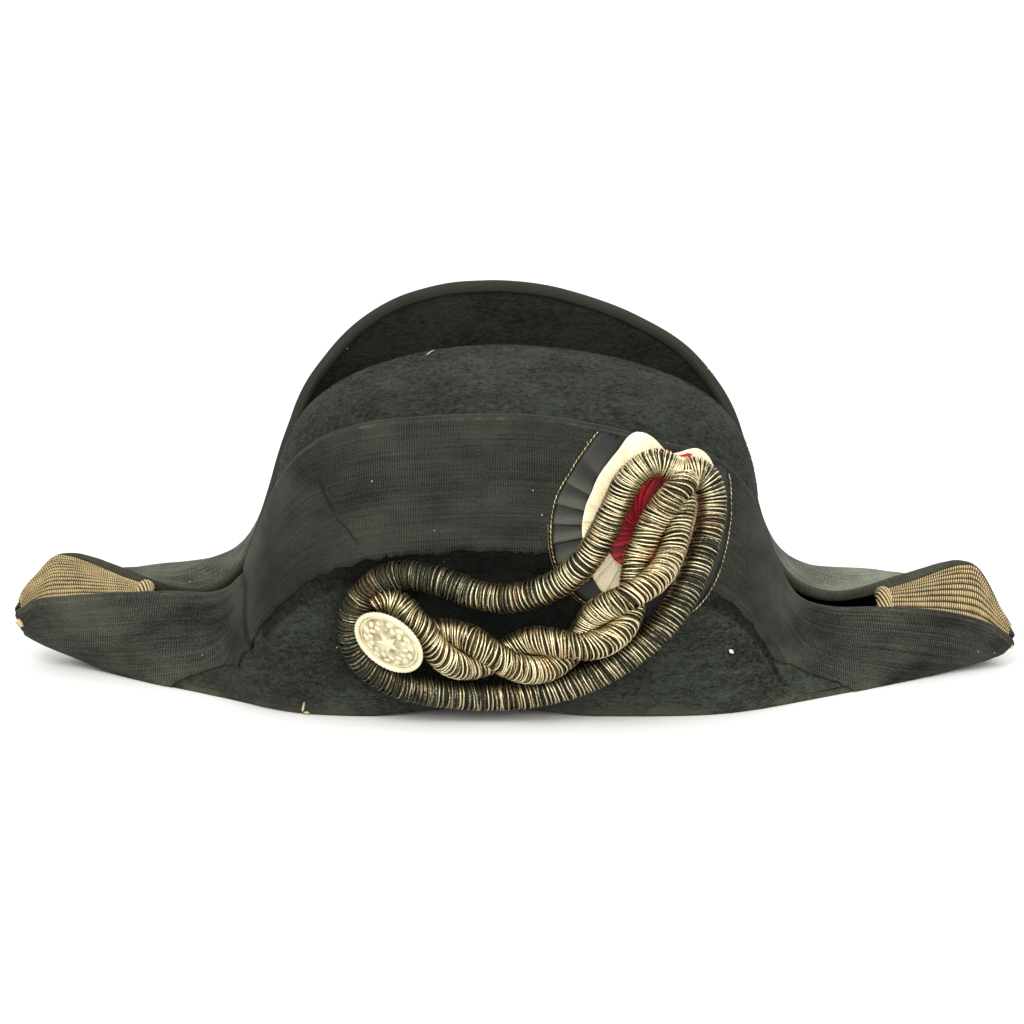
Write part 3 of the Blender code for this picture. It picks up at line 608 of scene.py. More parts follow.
FOLDS = tuple(starmap(Fold, (
    (0.000, 0.955, 0.955), (0.200, 0.965, 0.965), (0.310, 0.960, 0.960), (0.390, 0.930, 0.930),
    (0.445, 0.870, 0.875), (0.495, 0.775, 0.800), (0.555, 0.660, 0.705), (0.655, 0.480, 0.540),
    (0.765, 0.255, 0.335), (0.865, 0.110, 0.175), (0.935, 0.070, 0.105), (0.985, 0.030, 0.035),
)))
NEAR_SECTIONS = tuple(starmap(Section, (
    (-0.935, -0.945, 0.150, 0.236, 0.010, 0.0),
    (-0.865, -0.868, 0.225, 0.260, 0.030, 0.0),
    (-0.765, -0.770, 0.265, 0.282, 0.040, 0.0),
    (-0.655, -0.650, 0.270, 0.294, 0.030, 0.0),
    (-0.565, -0.565, 0.260, 0.300, 0.020, 0.0),
    (-0.500, -0.527, 0.330, 0.420, 0.110, 0.0),
    (-0.445, -0.477, 0.550, 0.655, 0.110, 0.0),
    (-0.385, -0.420, 0.720, 0.835, 0.080, 0.0),
    (-0.300, -0.325, 0.860, 0.945, 0.060, 0.0),
    (-0.190, -0.200, 0.910, 0.985, 0.055, 0.0),
    (-0.060, -0.060, 0.925, 1.000, 0.055, 0.0),
    (0.070, 0.070, 0.922, 0.990, 0.055, 0.0),
    (0.190, 0.200, 0.885, 0.943, 0.055, 0.0),
    (0.290, 0.315, 0.805, 0.875, 0.055, 0.0),
    (0.370, 0.400, 0.680, 0.808, 0.060, 0.0),
    (0.430, 0.460, 0.550, 0.665, 0.070, 0.0),
    (0.480, 0.500, 0.430, 0.490, 0.070, 0.0),
    (0.535, 0.538, 0.330, 0.325, 0.050, 0.0),
    (0.600, 0.597, 0.290, 0.250, 0.030, 0.0),
    (0.690, 0.690, 0.280, 0.240, 0.030, 0.0),
    (0.780, 0.780, 0.265, 0.230, 0.040, 0.0),
    (0.865, 0.868, 0.215, 0.202, 0.030, 0.0),
    (0.935, 0.945, 0.130, 0.147, 0.010, 0.0),
)))
FAR_SECTIONS = tuple(starmap(Section, (
    (-0.950, -0.965, 0.130, 0.214, 0.010, 0.00),
    (-0.900, -0.925, 0.235, 0.268, 0.030, 0.00),
    (-0.845, -0.860, 0.235, 0.275, 0.050, 0.04),
    (-0.765, -0.775, 0.110, 0.252, 0.060, 0.18),
    (-0.690, -0.700, -0.030, 0.229, 0.060, 0.32),
    (-0.620, -0.625, -0.120, 0.222, 0.050, 0.41),
    (-0.560, -0.562, -0.050, 0.245, 0.050, 0.34),
    (-0.505, -0.523, 0.220, 0.322, 0.080, 0.12),
    (-0.450, -0.485, 0.480, 0.497, 0.090, 0.02),
    (-0.395, -0.437, 0.620, 0.692, 0.070, 0.0),
    (-0.330, -0.357, 0.730, 0.847, 0.060, 0.0),
    (-0.250, -0.262, 0.800, 0.943, 0.055, 0.0),
    (-0.150, -0.153, 0.850, 0.990, 0.055, 0.0),
    (-0.040, -0.045, 0.870, 1.000, 0.055, 0.0),
    (0.070, 0.070, 0.865, 0.985, 0.055, 0.0),
    (0.170, 0.180, 0.840, 0.942, 0.055, 0.0),
    (0.260, 0.285, 0.785, 0.880, 0.055, 0.0),
    (0.340, 0.377, 0.700, 0.790, 0.060, 0.0),
    (0.405, 0.447, 0.575, 0.645, 0.070, 0.0),
    (0.460, 0.480, 0.445, 0.468, 0.080, 0.03),
    (0.515, 0.516, 0.180, 0.262, 0.070, 0.14),
    (0.575, 0.575, -0.080, 0.225, 0.050, 0.37),
    (0.640, 0.640, -0.090, 0.204, 0.050, 0.39),
    (0.710, 0.710, 0.030, 0.219, 0.060, 0.27),
    (0.780, 0.785, 0.150, 0.235, 0.060, 0.14),
    (0.855, 0.862, 0.220, 0.258, 0.050, 0.05),
    (0.910, 0.925, 0.220, 0.248, 0.030, 0.00),
    (0.952, 0.968, 0.110, 0.150, 0.010, 0.00),
)))
LEFT_TIP = Section(-0.986, -0.999, 0.010, 0.170, 0.000, 0.0)
RIGHT_TIP = Section(0.980, 1.000, 0.010, 0.066, 0.000, 0.0)
RINGS = tuple(starmap(Ring, (
    (0.000, 1.000, 1.000), (0.180, 1.025, 1.000), (0.400, 1.040, 0.990), (0.580, 1.020, 0.970),
    (0.700, 0.975, 0.940), (0.800, 0.895, 0.885), (0.880, 0.765, 0.790), (0.940, 0.580, 0.630),
    (0.980, 0.340, 0.390), (1.000, 0.100, 0.115),
)))
CREASES = tuple(starmap(Crease, (
    (-85.0, 102.0, -67.5, 76.5, 0.60, 2.0), (-119.0, 48.0, -117.0, 28.0, 1.80, 2.8),
    (-117.0, 28.0, -110.5, 19.0, 1.60, 2.8), (-110.5, 19.0, -104.0, 17.0, 0.90, 2.6),
    (105.0, 42.0, 116.0, 20.0, 0.70, 4.0), (96.0, 70.0, 108.0, 36.0, -0.50, 5.0),
    (-60.0, 110.0, -66.0, 74.0, -0.35, 6.0), (10.0, 100.0, 4.0, 70.0, 0.30, 7.0),
)))


# Unevenness of the felt: depth, and size along the hat, up and from front to back, in mm; seed
RIPPLES = ((0.28, 23, 19, 31, 3), (0.12, 9, 8, 12, 4))


@dataclass
class Brim:
    """The one-piece felt brim: sections from the head opening to the rim, in a ring."""

    half_length: float = 0.2255
    half_width: float = 0.094
    near_height: float = 0.131
    far_height: float = 0.159
    felt: float = 0.003
    head_length: float = 0.204
    head_width: float = 0.160
    drop: float = 0.008
    seat_width: float = 0.0045
    roll_reach: float = 0.018
    sink: float = 0.0010
    keel_start: float = 0.165
    left_lift: float = 0.0165
    right_lift: float = 0.0070
    lift_power: float = 1.6
    arch_rise: float = 0.0040
    arch_half_span: float = 0.068
    arch_centre: float = -0.014
    ribbon_width: float = 0.057
    fold_margin: float = 0.009
    seat_run: float = 0.6
    beside_share: float = 0.45
    crest_share: float = 0.75
    crest_belly: float = 0.6
    middle_share: float = 0.45
    curl_rise: float = 0.12
    full_curl: float = 0.24
    turning_curl: float = 0.10
    rim_rows: float = 1.35
    fold_place: float = 3.0
    rim_place: float = 6.0
    stations: int = 560
    under_rows: int = 13
    plush_rows: int = 15
    ribbon_rows: int = 22
    outer: np.ndarray = field(init=False, repr=False)
    normal: np.ndarray = field(init=False, repr=False)
    places: np.ndarray = field(init=False, repr=False)
    from_rim: np.ndarray = field(init=False, repr=False)
    along: np.ndarray = field(init=False, repr=False)

    def __post_init__(self) -> None:
        """Work out the fine skin once, for everything that lies on it."""
        rows = ring_spline(self.section_rows(), self.ring_places())
        leaf = self.calmed(self.leaf_rows(self.controls(rows)), rows[:, 7])
        under = spline(self.controls(rows), np.linspace(0.0, self.fold_place, self.under_rows))
        coarse = np.concatenate([under, leaf], axis=1)
        crest = coarse[:, -4]
        passed = np.concatenate([[0.0], np.cumsum(np.linalg.norm(np.roll(crest, -1, 0) - crest, axis=1))])
        stops = np.linspace(0.0, passed[-1], self.stations, endpoint=False)
        fine_places = np.interp(stops, passed, np.arange(len(passed)))
        ring = np.concatenate([self.ring_places(), [float(len(self.section_rows()))]])
        self.places = np.interp(fine_places, np.arange(len(ring)), ring)
        skin = ring_spline(coarse, fine_places)
        skin[..., 2] = np.maximum(skin[..., 2], 0.0)
        self.normal = self.skin_normals(skin)
        self.outer = skin + self.normal * self.relief(skin)[..., None]
        self.outer[..., 2] = np.maximum(self.outer[..., 2], 0.0)
        self.normal = self.skin_normals(self.outer)
        lengths = run_lengths(self.outer)
        self.from_rim = lengths[:, -1:] - lengths
        self.along = np.broadcast_to(stops[:, None], self.from_rim.shape)

    @property
    def edge_row(self) -> int:
        """Row of the skin where the ribbon's lower edge lies."""
        return self.under_rows + self.plush_rows - 1

    def fold_out(self, along: np.ndarray) -> np.ndarray:
        """How far out the fold lies: a cubic through the table, by the sign of along.

        Args:
            along: shares of the half length.

        Returns:
            Shares of the half width.
        """
        places, left, right = np.array(FOLDS).T
        share = np.minimum(np.abs(along), places[-1])
        first = np.clip(np.searchsorted(places, share, side="right") - 1, 0, len(places) - 2)
        span = places[first + 1] - places[first]
        part = (share - places[first]) / span
        sides = []
        for outs in (left, right):
            both = (outs, np.gradient(outs, places))
            sides.append(cubic(part, span, *((values[first], values[first + 1]) for values in both)))
        return np.where(along < 0, *sides)

    def keel(self, x: np.ndarray) -> np.ndarray:
        """Height of the underside's lowest line: it lifts to each tip and arches a little.

        Args:
            x: places along the hat.

        Returns:
            Heights, below 0 by the sink where the arch starts.
        """
        reach = np.clip((np.abs(x) - self.keel_start) / (self.half_length - self.keel_start), 0.0, 1.0)
        lift = np.where(x < 0, self.left_lift, self.right_lift) * reach**self.lift_power
        off_centre = np.clip((x - self.arch_centre) / self.arch_half_span, -1.0, 1.0)
        arch = (self.arch_rise + self.sink) * np.cos(0.5 * math.pi * off_centre) ** 2
        return lift + arch - self.sink * (1.0 - reach)

    def section_rows(self) -> np.ndarray:
        """All sections in ring order: fold x, y, z, rim x, y, z, belly and curl, in metres.

        Returns:
            One row a section, from the left tip along the near leaf and back along the far one.
        """
        ring = [(s, -1.0, self.near_height) for s in (LEFT_TIP, *NEAR_SECTIONS, RIGHT_TIP)]
        ring += [(s, 1.0, self.far_height) for s in reversed(FAR_SECTIONS)]
        table = np.array([(*s, side, height, s in (LEFT_TIP, RIGHT_TIP)) for s, side, height in ring])
        fold, rim_along, rim_out, rim_up, belly, curl, side, height, tip = table.T
        fold_x = fold * self.half_length
        return np.stack([
            fold_x,
            np.where(tip > 0, 0.0, side * self.fold_out(fold) * self.half_width),
            self.keel(fold_x),
            rim_along * self.half_length,
            side * rim_out * self.half_width,
            rim_up * height,
            belly * self.half_width,
            curl * self.half_width,
        ], axis=1)

    def ring_places(self) -> np.ndarray:
        """Places round the ring, closer together where the rim turns over.

        Returns:
            Numbers from 0 to the count of sections.
        """
        curl = self.section_rows()[:, 7] / self.half_width
        turning = np.minimum(1.0, np.abs(np.roll(curl, -1) - curl) / self.turning_curl)
        passed = np.concatenate([[0.0], np.cumsum(1.08 + 1.1 * turning)])
        stops = np.linspace(0.0, passed[-1], round(passed[-1]), endpoint=False)
        return np.interp(stops, passed, np.arange(len(passed)))

    def controls(self, rows: np.ndarray) -> np.ndarray:
        """Seven control points a section: opening edge, seat, roll, fold, belly, crest, rim.

        Args:
            rows: rows as section_rows gives them.

        Returns:
            Points of shape (sections, 7, 3).
        """
        fold = rows[:, 0:3].copy()
        rim, belly, curl = rows[:, 3:6], rows[:, 6:7], rows[:, 7:8]
        fold[:, 2] = self.keel(fold[:, 0])
        turn = np.arctan2(fold[:, 1] / self.head_width, fold[:, 0] / self.head_length)
        zero = np.zeros(len(turn))
        edge = np.stack([
            0.5 * self.head_length * np.cos(turn), 0.5 * self.head_width * np.sin(turn), zero + self.drop
        ], axis=1)
        out = unit(np.stack([self.head_width * np.cos(turn), self.head_length * np.sin(turn), zero], axis=1))
        seat = edge + out * self.seat_width
        run = (fold - seat) * np.array([1.0, 1.0, 0.0])
        reach = np.linalg.norm(run, axis=1, keepdims=True)
        roll = seat + run * np.minimum(self.seat_run, self.roll_reach / reach)
        blend = np.clip((reach[:, 0] - self.roll_reach) / self.roll_reach, 0.0, 1.0)
        beside = fold[:, 2] + self.beside_share * (self.drop - fold[:, 2])
        roll[:, 2] = blend * self.keel(roll[:, 0]) + (1.0 - blend) * beside
        ahead = np.roll(fold, -1, axis=0) - np.roll(fold, 1, axis=0)
        outward = unit(np.stack([ahead[:, 1], -ahead[:, 0], zero], axis=1))
        upright = fold + self.crest_share * (rim - fold) + outward * belly * self.crest_belly
        curled = rim + outward * curl + UP * curl * self.curl_rise
        weight = np.clip(curl / (self.full_curl * self.half_width), 0.0, 1.0)
        crest = (1.0 - weight) * upright + weight * curled
        middle = fold + self.middle_share * (crest - fold) + outward * belly
        return np.stack([edge, seat, roll, fold, middle, crest, rim], axis=1)

    def leaf_rows(self, controls: np.ndarray) -> np.ndarray:
        """Rows above the fold, even in length in the plush and in the ribbon.

        Args:
            controls: control points as controls gives them.

        Returns:
            Points of shape (sections, plush_rows + ribbon_rows, 3).
        """
        fine = spline(controls, np.linspace(self.fold_place, self.rim_place, 91))
        lengths = run_lengths(fine)
        whole = lengths[:, -1:]
        edge = np.maximum(whole - self.ribbon_width, np.minimum(self.fold_margin, 0.4 * whole))
        plush = np.linspace(0.0, 1.0, self.plush_rows + 1)[1:]
        near_rim = 1.0 - (1.0 - np.linspace(0.0, 1.0, self.ribbon_rows + 1)[1:]) ** self.rim_rows
        stops = np.concatenate([plush * edge, edge + near_rim * (whole - edge)], axis=1)
        return np.stack([read_points(*line) for line in zip(stops, lengths, fine)])

    def calmed(self, rows: np.ndarray, curl: np.ndarray) -> np.ndarray:
        """Rows with wrinkles smoothed where the rim curls: three passes of neighbour means.

        Args:
            rows: points of the leaf, a section a row.
            curl: how far each section's rim curls.

        Returns:
            The smoothed points.
        """
        share = np.clip(curl / (self.turning_curl * self.half_width), 0.0, 1.0)[:, None, None]
        for _ in range(3):
            middle = 0.5 * (np.roll(rows, 1, axis=0) + np.roll(rows, -1, axis=0))
            rows = rows + 0.5 * share * (middle - rows)
        return rows

    def skin_normals(self, skin: np.ndarray) -> np.ndarray:
        """Unit normals that point away from the crown: the slopes' cross product."""
        along = np.roll(skin, -1, axis=0) - np.roll(skin, 1, axis=0)
        return -unit(np.cross(np.gradient(skin, axis=1), along))

    def relief(self, skin: np.ndarray) -> np.ndarray:
        """How far each point of the skin is pushed out or in.

        Slow noise of a third of a millimetre, and each crease's depth times e to minus the
        square of the distance over its width. Both fade where the felt rests or is joined.

        Args:
            skin: points of the outer skin.

        Returns:
            One distance a point, outwards.
        """
        x, y, z = skin[..., 0] / MM, skin[..., 1] / MM, skin[..., 2] / MM
        amount = 0.0
        for depth, along, up, deep, seed in RIPPLES:
            amount = amount + depth * lattice_noise(x / along + 40, z / up + y / deep + 60, seed)
        near = smooth_step(4.0, -8.0, y) * smooth_step(5.0, 12.0, z)
        for c in CREASES:
            run = np.array([c.x1 - c.x0, c.z1 - c.z0])
            share = np.clip(((x - c.x0) * run[0] + (z - c.z0) * run[1]) / (run @ run), 0.0, 1.0)
            away = np.hypot(x - c.x0 - share * run[0], z - c.z0 - share * run[1])
            amount = amount - near * c.depth * np.exp(-((away / c.width) ** 2))
        rows = np.arange(skin.shape[1])
        free = smooth_step(self.under_rows - 1.0, self.under_rows + 4.0, rows)[None, :]
        tips = smooth_step(self.half_length, self.half_length - 0.03, np.abs(skin[..., 0]))
        return amount * free * tips * MM

    def fade(self, skin: np.ndarray) -> np.ndarray:
        """How faded the plush is, with painted shade: darkest behind the bullion, where it lay covered and
        where the bullion's shadow is painted.

        Args:
            skin: points of the outer skin.

        Returns:
            One tone a point.
        """
        x, y, z = skin[..., 0] / MM, skin[..., 1], skin[..., 2] / MM
        # behind: darker where the bullion covered the plush, and painted shade of the bullion's shadow
        behind = smooth_step(-90.0, -66.0, x) * smooth_step(66.0, 30.0, x) * smooth_step(8.0, 26.0, z)
        bulge = smooth_step(-60.0, -90.0, x)
        tone = 0.125 - 0.030 * bulge + 0.020 * smooth_step(60.0, 110.0, x)
        return np.where(y < 0.0, tone * (1.0 - 0.80 * behind), 0.09)



    def build(self, finish: Material) -> None:
        """The whole brim as one closed wall; u runs along the crest and v in from the rim.

        Args:
            finish: plush over felt.
        """
        inner = self.outer - self.normal * self.felt
        inner[..., 2] = np.maximum(inner[..., 2], 0.0)
        tone = np.stack([self.fade(self.outer), np.where(inner[..., 1] > 0.0, 0.062, 0.08)])
        sheet = Sheet()
        sheet.shell(self.outer, inner, np.stack([self.along, self.from_rim], axis=-1), True, tone)
        sheet.build("felt_brim", finish, "felt", "brim")


@dataclass
class Crown:
    """The hollow crown, a stack of rings from the head opening to the dome's top."""

    brim: Brim
    height: float = 0.132
    wall: float = 0.0025
    around: int = 140
    levels: int = 52
    tone: float = 0.100
    hidden: float = 0.070
    outer: np.ndarray = field(init=False, repr=False)
    normal: np.ndarray = field(init=False, repr=False)

    def shown(self) -> np.ndarray:
        """1 over the height up to which the near leaf hides the crown, else 0."""
        return (self.outer[..., 2] > self.hidden) * 1.0

    def build(self, finish: Material) -> None:
        """The crown as one closed wall with both poles drawn together.

        Its rings are out of round by up to 1 percent, and its top is 1 percent lower on one side.

        Args:
            finish: plush.
        """
        turn = circle(self.around)[:, None]
        base = self.brim.drop + self.brim.felt + GAP
        half = np.array([0.5 * self.brim.head_length + self.wall, 0.5 * self.brim.head_width + self.wall])
        table = np.array([*RINGS, (1.001, 0.0, 0.0)])
        up, length, width = spline(table[None], np.linspace(0.0, len(table) - 1.0, self.levels))[0].T
        slouch = 1.0 + 0.006 * np.sin(2 * turn + 0.7) + 0.004 * np.sin(3 * turn + 2.0)
        bent = 1.0 + (slouch - 1.0) * np.minimum(up * 4, 1.0)
        sink = 1.0 - 0.012 * smooth_step(0.5, 1.0, up)[None, :] * (1.0 + np.cos(turn + 0.6))
        outer = np.stack([
            half[0] * length * np.cos(turn) * bent,
            half[1] * width * np.sin(turn) * bent,
            base + self.height * np.clip(up, 0.0, 1.0)[None, :] * sink,
        ], axis=-1)
        along = np.roll(outer, -1, axis=0) - np.roll(outer, 1, axis=0)
        normal = unit(np.cross(along, np.gradient(outer, axis=1)))
        # Its last rings are so small that they take one height and one normal
        flat = smooth_step(0.985, 0.999, up)[None, :, None]
        outer[..., 2:] += flat * (outer[:, -1:, 2:].mean() - outer[..., 2:])
        normal = unit(normal + 4.0 * flat * (UP - normal))
        inner = outer - normal * self.wall
        inner[:, 0, 2] = outer[:, 0, 2]
        self.outer, self.normal = outer, normal
        uv = np.stack([np.broadcast_to(turn * half.mean(), outer.shape[:2]), run_lengths(outer)], axis=-1)
        sheet = Sheet()
        sheet.shell(outer, inner, uv, True, np.full((2, *outer.shape[:2]), self.tone))
        sheet.build("plush_crown", finish, "plush", "crown", weld=True)


@dataclass
class Nap:
    """Loose hairs of the pile: thin spikes of four faces that lie along the plush.

    lay is which way the pile is brushed, and off how far over the skin the hairs start.
    """

    name: str
    count: int
    longest: float
    seed: int
    tone: float
    lay: tuple[float, float, float]
    shortest: float = 0.0012
    thick: float = 0.00009
    scatter: float = 0.9
    rise: float = 0.10
    off: float = 0.0001

    def build(
        self, skin: np.ndarray, normal: np.ndarray, weight: np.ndarray, finish: Material
    ) -> None:
        """Hairs rooted at random places of a skin.

        A hair of length L at a place p with normal n and direction d goes from p + n off to
        p + (d + bend) L + n (off + rise L).

        Args:
            skin: points of a grid.
            normal: their normals.
            weight: how likely a root is at each point; 0 for none.
            finish: plush.
        """
        random = np.random.default_rng(self.seed)
        rows, columns = skin.shape[0] - 1, skin.shape[1] - 1
        corner = skin[:-1, :-1]
        span = np.linalg.norm(np.cross(skin[1:, :-1] - corner, skin[:-1, 1:] - corner), axis=-1)
        odds = (span * weight[:-1, :-1]).ravel()
        cell = random.choice(rows * columns, self.count, p=odds / odds.sum())
        i, j = cell // columns, cell % columns
        a, b = random.uniform(size=(2, self.count, 1))
        place, out = (cell_value(grid, i, j, a, b) for grid in (skin, normal))
        out = unit(out)
        way = np.array(self.lay) + self.scatter * random.normal(size=(self.count, 3)) * 0.5
        way = unit(way - out * np.sum(way * out, axis=1, keepdims=True))
        long = random.uniform(self.shortest, self.longest, (self.count, 1))
        side = np.cross(out, way)
        bend = side * random.normal(size=(self.count, 1)) * 0.1
        around = np.radians([0.0, 120.0, 240.0])[None, :, None]
        ring = side[:, None] * np.cos(around) + out[:, None] * np.sin(around)
        thick = self.thick * random.uniform(0.7, 1.3, (self.count, 1, 1))
        root = place + out * self.off
        tip = place + (way + bend) * long + out * (self.off + self.rise * long)
        points = np.concatenate([root[:, None] + ring * thick, tip[:, None]], axis=1)
        spike = np.array([(2, 1, 0), (0, 1, 3), (1, 2, 3), (2, 0, 3)])
        faces = 4 * np.arange(self.count)[:, None, None] + spike
        tone = self.tone * random.uniform(0.4, 1.9, (self.count, 1)) * np.ones((1, 4))
        sheet = Sheet()
        sheet.add(points, faces.reshape(-1, 3), None, tone)
        sheet.build(self.name, finish, "plush")


@dataclass
class LeafPile:
    """The hairs of the near leaf's plush: faded ones, darker ones where the bullion covered it and casts
    painted shade, and those along the silk.

    They grow within reach of middle along the hat and over lowest. Those in the top rows
    rise over the ribbon's edge.
    """

    brim: Brim
    middle: float = 0.005
    reach: float = 0.115
    lowest: float = 0.004
    edge_rows: int = 3
    rise: float = 0.18
    over: float = 0.0003

    def build(self, finish: Material) -> None:
        """The four kinds of hair, each where its weight is above 0.

        Args:
            finish: plush.
        """
        brim = self.brim
        leaf, out = (grid[:, brim.under_rows:brim.edge_row + 1] for grid in (brim.outer, brim.normal))
        x = leaf[..., 0]
        near = (leaf[..., 1] < 0.0) & (np.abs(x - self.middle) < self.reach) & (leaf[..., 2] > self.lowest)
        # Behind the bullion the hairs and tufts are darker: less faded there, and painted shade of the
        # bullion
        covered = near * smooth_step(-0.085, -0.070, x) * smooth_step(0.055, 0.040, x)
        tufted = near * smooth_step(-0.083, -0.070, x) * smooth_step(0.050, 0.040, x)
        hairs = Nap("leaf_nap", 7500, 0.0030, 92, 0.18, (0.9, 0.0, -0.3))
        hairs.build(leaf, out, near * (1.0 - covered), finish)
        hairs = Nap("covered_shaded_nap", 4200, 0.0030, 93, 0.045, (0.9, 0.0, -0.5))
        hairs.build(leaf, out, covered, finish)
        near, tufted, leaf, out = (grid[:, -self.edge_rows:] for grid in (near, tufted, leaf, out))
        tall = {"rise": self.rise, "off": self.over}
        hairs = Nap("edge_tufts", 3800, 0.0046, 94, 0.032, (0.15, 0.0, 1.0), 0.0022, scatter=0.7, **tall)
        hairs.build(leaf, out, tufted, finish)
        hairs = Nap("faded_tufts", 3000, 0.0038, 95, 0.075, (0.3, 0.0, 1.0), 0.0018, scatter=0.8, **tall)
        hairs.build(leaf, out, near * (1.0 - tufted), finish)


class Chip(NamedTuple):
    """A worn or stray bit: its middle and half sizes along X, Y and Z, in mm, and its turn."""

    x: float
    y: float
    z: float
    long: float
    deep: float
    high: float
    turn: float


# Bare places: on the near rim, on the far rim and at the foot of the left bulge
WORN_CHIPS = tuple(starmap(Chip, (
    (-29.0, -86.0, 131.3, 3.3, 0.7, 0.8, 2.0),
    (-24.4, -86.0, 131.5, 1.2, 0.6, 0.7, -8.0),
    (-16.5, -86.0, 131.9, 3.0, 0.6, 0.35, -3.0),
    (-46.0, -85.0, 130.2, 2.4, 0.5, 0.30, 10.0),
    (88.3, 62.8, 122.2, 1.1, 0.7, 1.4, -30.0),
    (90.5, 62.0, 120.6, 0.8, 0.6, 0.7, 15.0),
    (33.6, 79.2, 152.9, 1.6, 0.6, 0.5, -12.0),
    (-91.8, -89.2, 4.1, 0.55, 0.4, 2.8, -10.0),
    (-90.6, -88.6, 1.1, 1.3, 0.4, 0.6, 0.0),
    (-222.6, -5.4, 20.2, 2.1, 1.2, 2.2, 10.0),
    (-220.2, -5.4, 18.9, 1.4, 0.8, 1.1, -30.0),
    (223.0, -4.0, 9.6, 1.3, 1.0, 1.8, 20.0),
)))
# The dark roll of cloth over the left chip
TIP_ROLL = tuple(starmap(Chip, (
    (-222.6, -3.0, 24.6, 1.8, 1.4, 1.4, 0.0),
    (-220.2, -3.4, 25.4, 1.5, 1.2, 1.2, 0.0),
)))
# Lint on the leaf and a white thread on the dome
STRAY_FLECKS = tuple(starmap(Chip, (
    (93.6, -86.9, 28.1, 1.3, 0.25, 0.75, -35.0),
    (-69.8, -85.6, 61.5, 0.35, 0.2, 0.8, 20.0),
    (-49.0, -88.6, 102.0, 0.45, 0.2, 0.30, 0.0),
    (44.0, -86.6, 61.0, 0.35, 0.2, 0.60, 15.0),
    (-38.0, 12.0, 140.6, 2.0, 0.22, 0.25, 35.0),
)))


@dataclass
class Chips:
    """Flattened lumps with uneven edges, for chips of bare lining and stray flecks."""

    name: str
    chips: tuple[Chip, ...]
    around: int = 18
    levels: int = 10
    uneven: float = 0.28

    def build(self, finish: Material) -> None:
        """Each chip is a ball scaled by its half sizes, its radius swayed by noise.

        Args:
            finish: bare lining, thread or cloth.
        """
        around = circle(self.around)[:, None]
        level = np.linspace(0.0, math.pi, self.levels)[None, :]
        sheet = Sheet()
        for number, chip in enumerate(self.chips):
            noise = lattice_noise(2.2 * np.cos(around) + 9 + number, 2.2 * np.sin(around) + level + 5, 81)
            radius = 1.0 + self.uneven * np.sin(level) * noise
            ball = np.stack([
                np.sin(level) * np.cos(around) * radius,
                -np.cos(level) + 0.0 * around,
                np.sin(level) * np.sin(around) * radius,
            ], axis=-1) * np.array([chip.long, chip.deep, chip.high])
            lean = math.radians(chip.turn)
            turned = np.stack([
                ball[..., 0] * math.cos(lean) - ball[..., 2] * math.sin(lean),
                ball[..., 1],
                ball[..., 0] * math.sin(lean) + ball[..., 2] * math.cos(lean),
            ], axis=-1)
            place = np.array([chip.x, chip.y, chip.z])
            sheet.add((turned + place) * MM, grid_faces(self.around, self.levels, True, False))
        sheet.build(self.name, finish, "ribbon", weld=True)


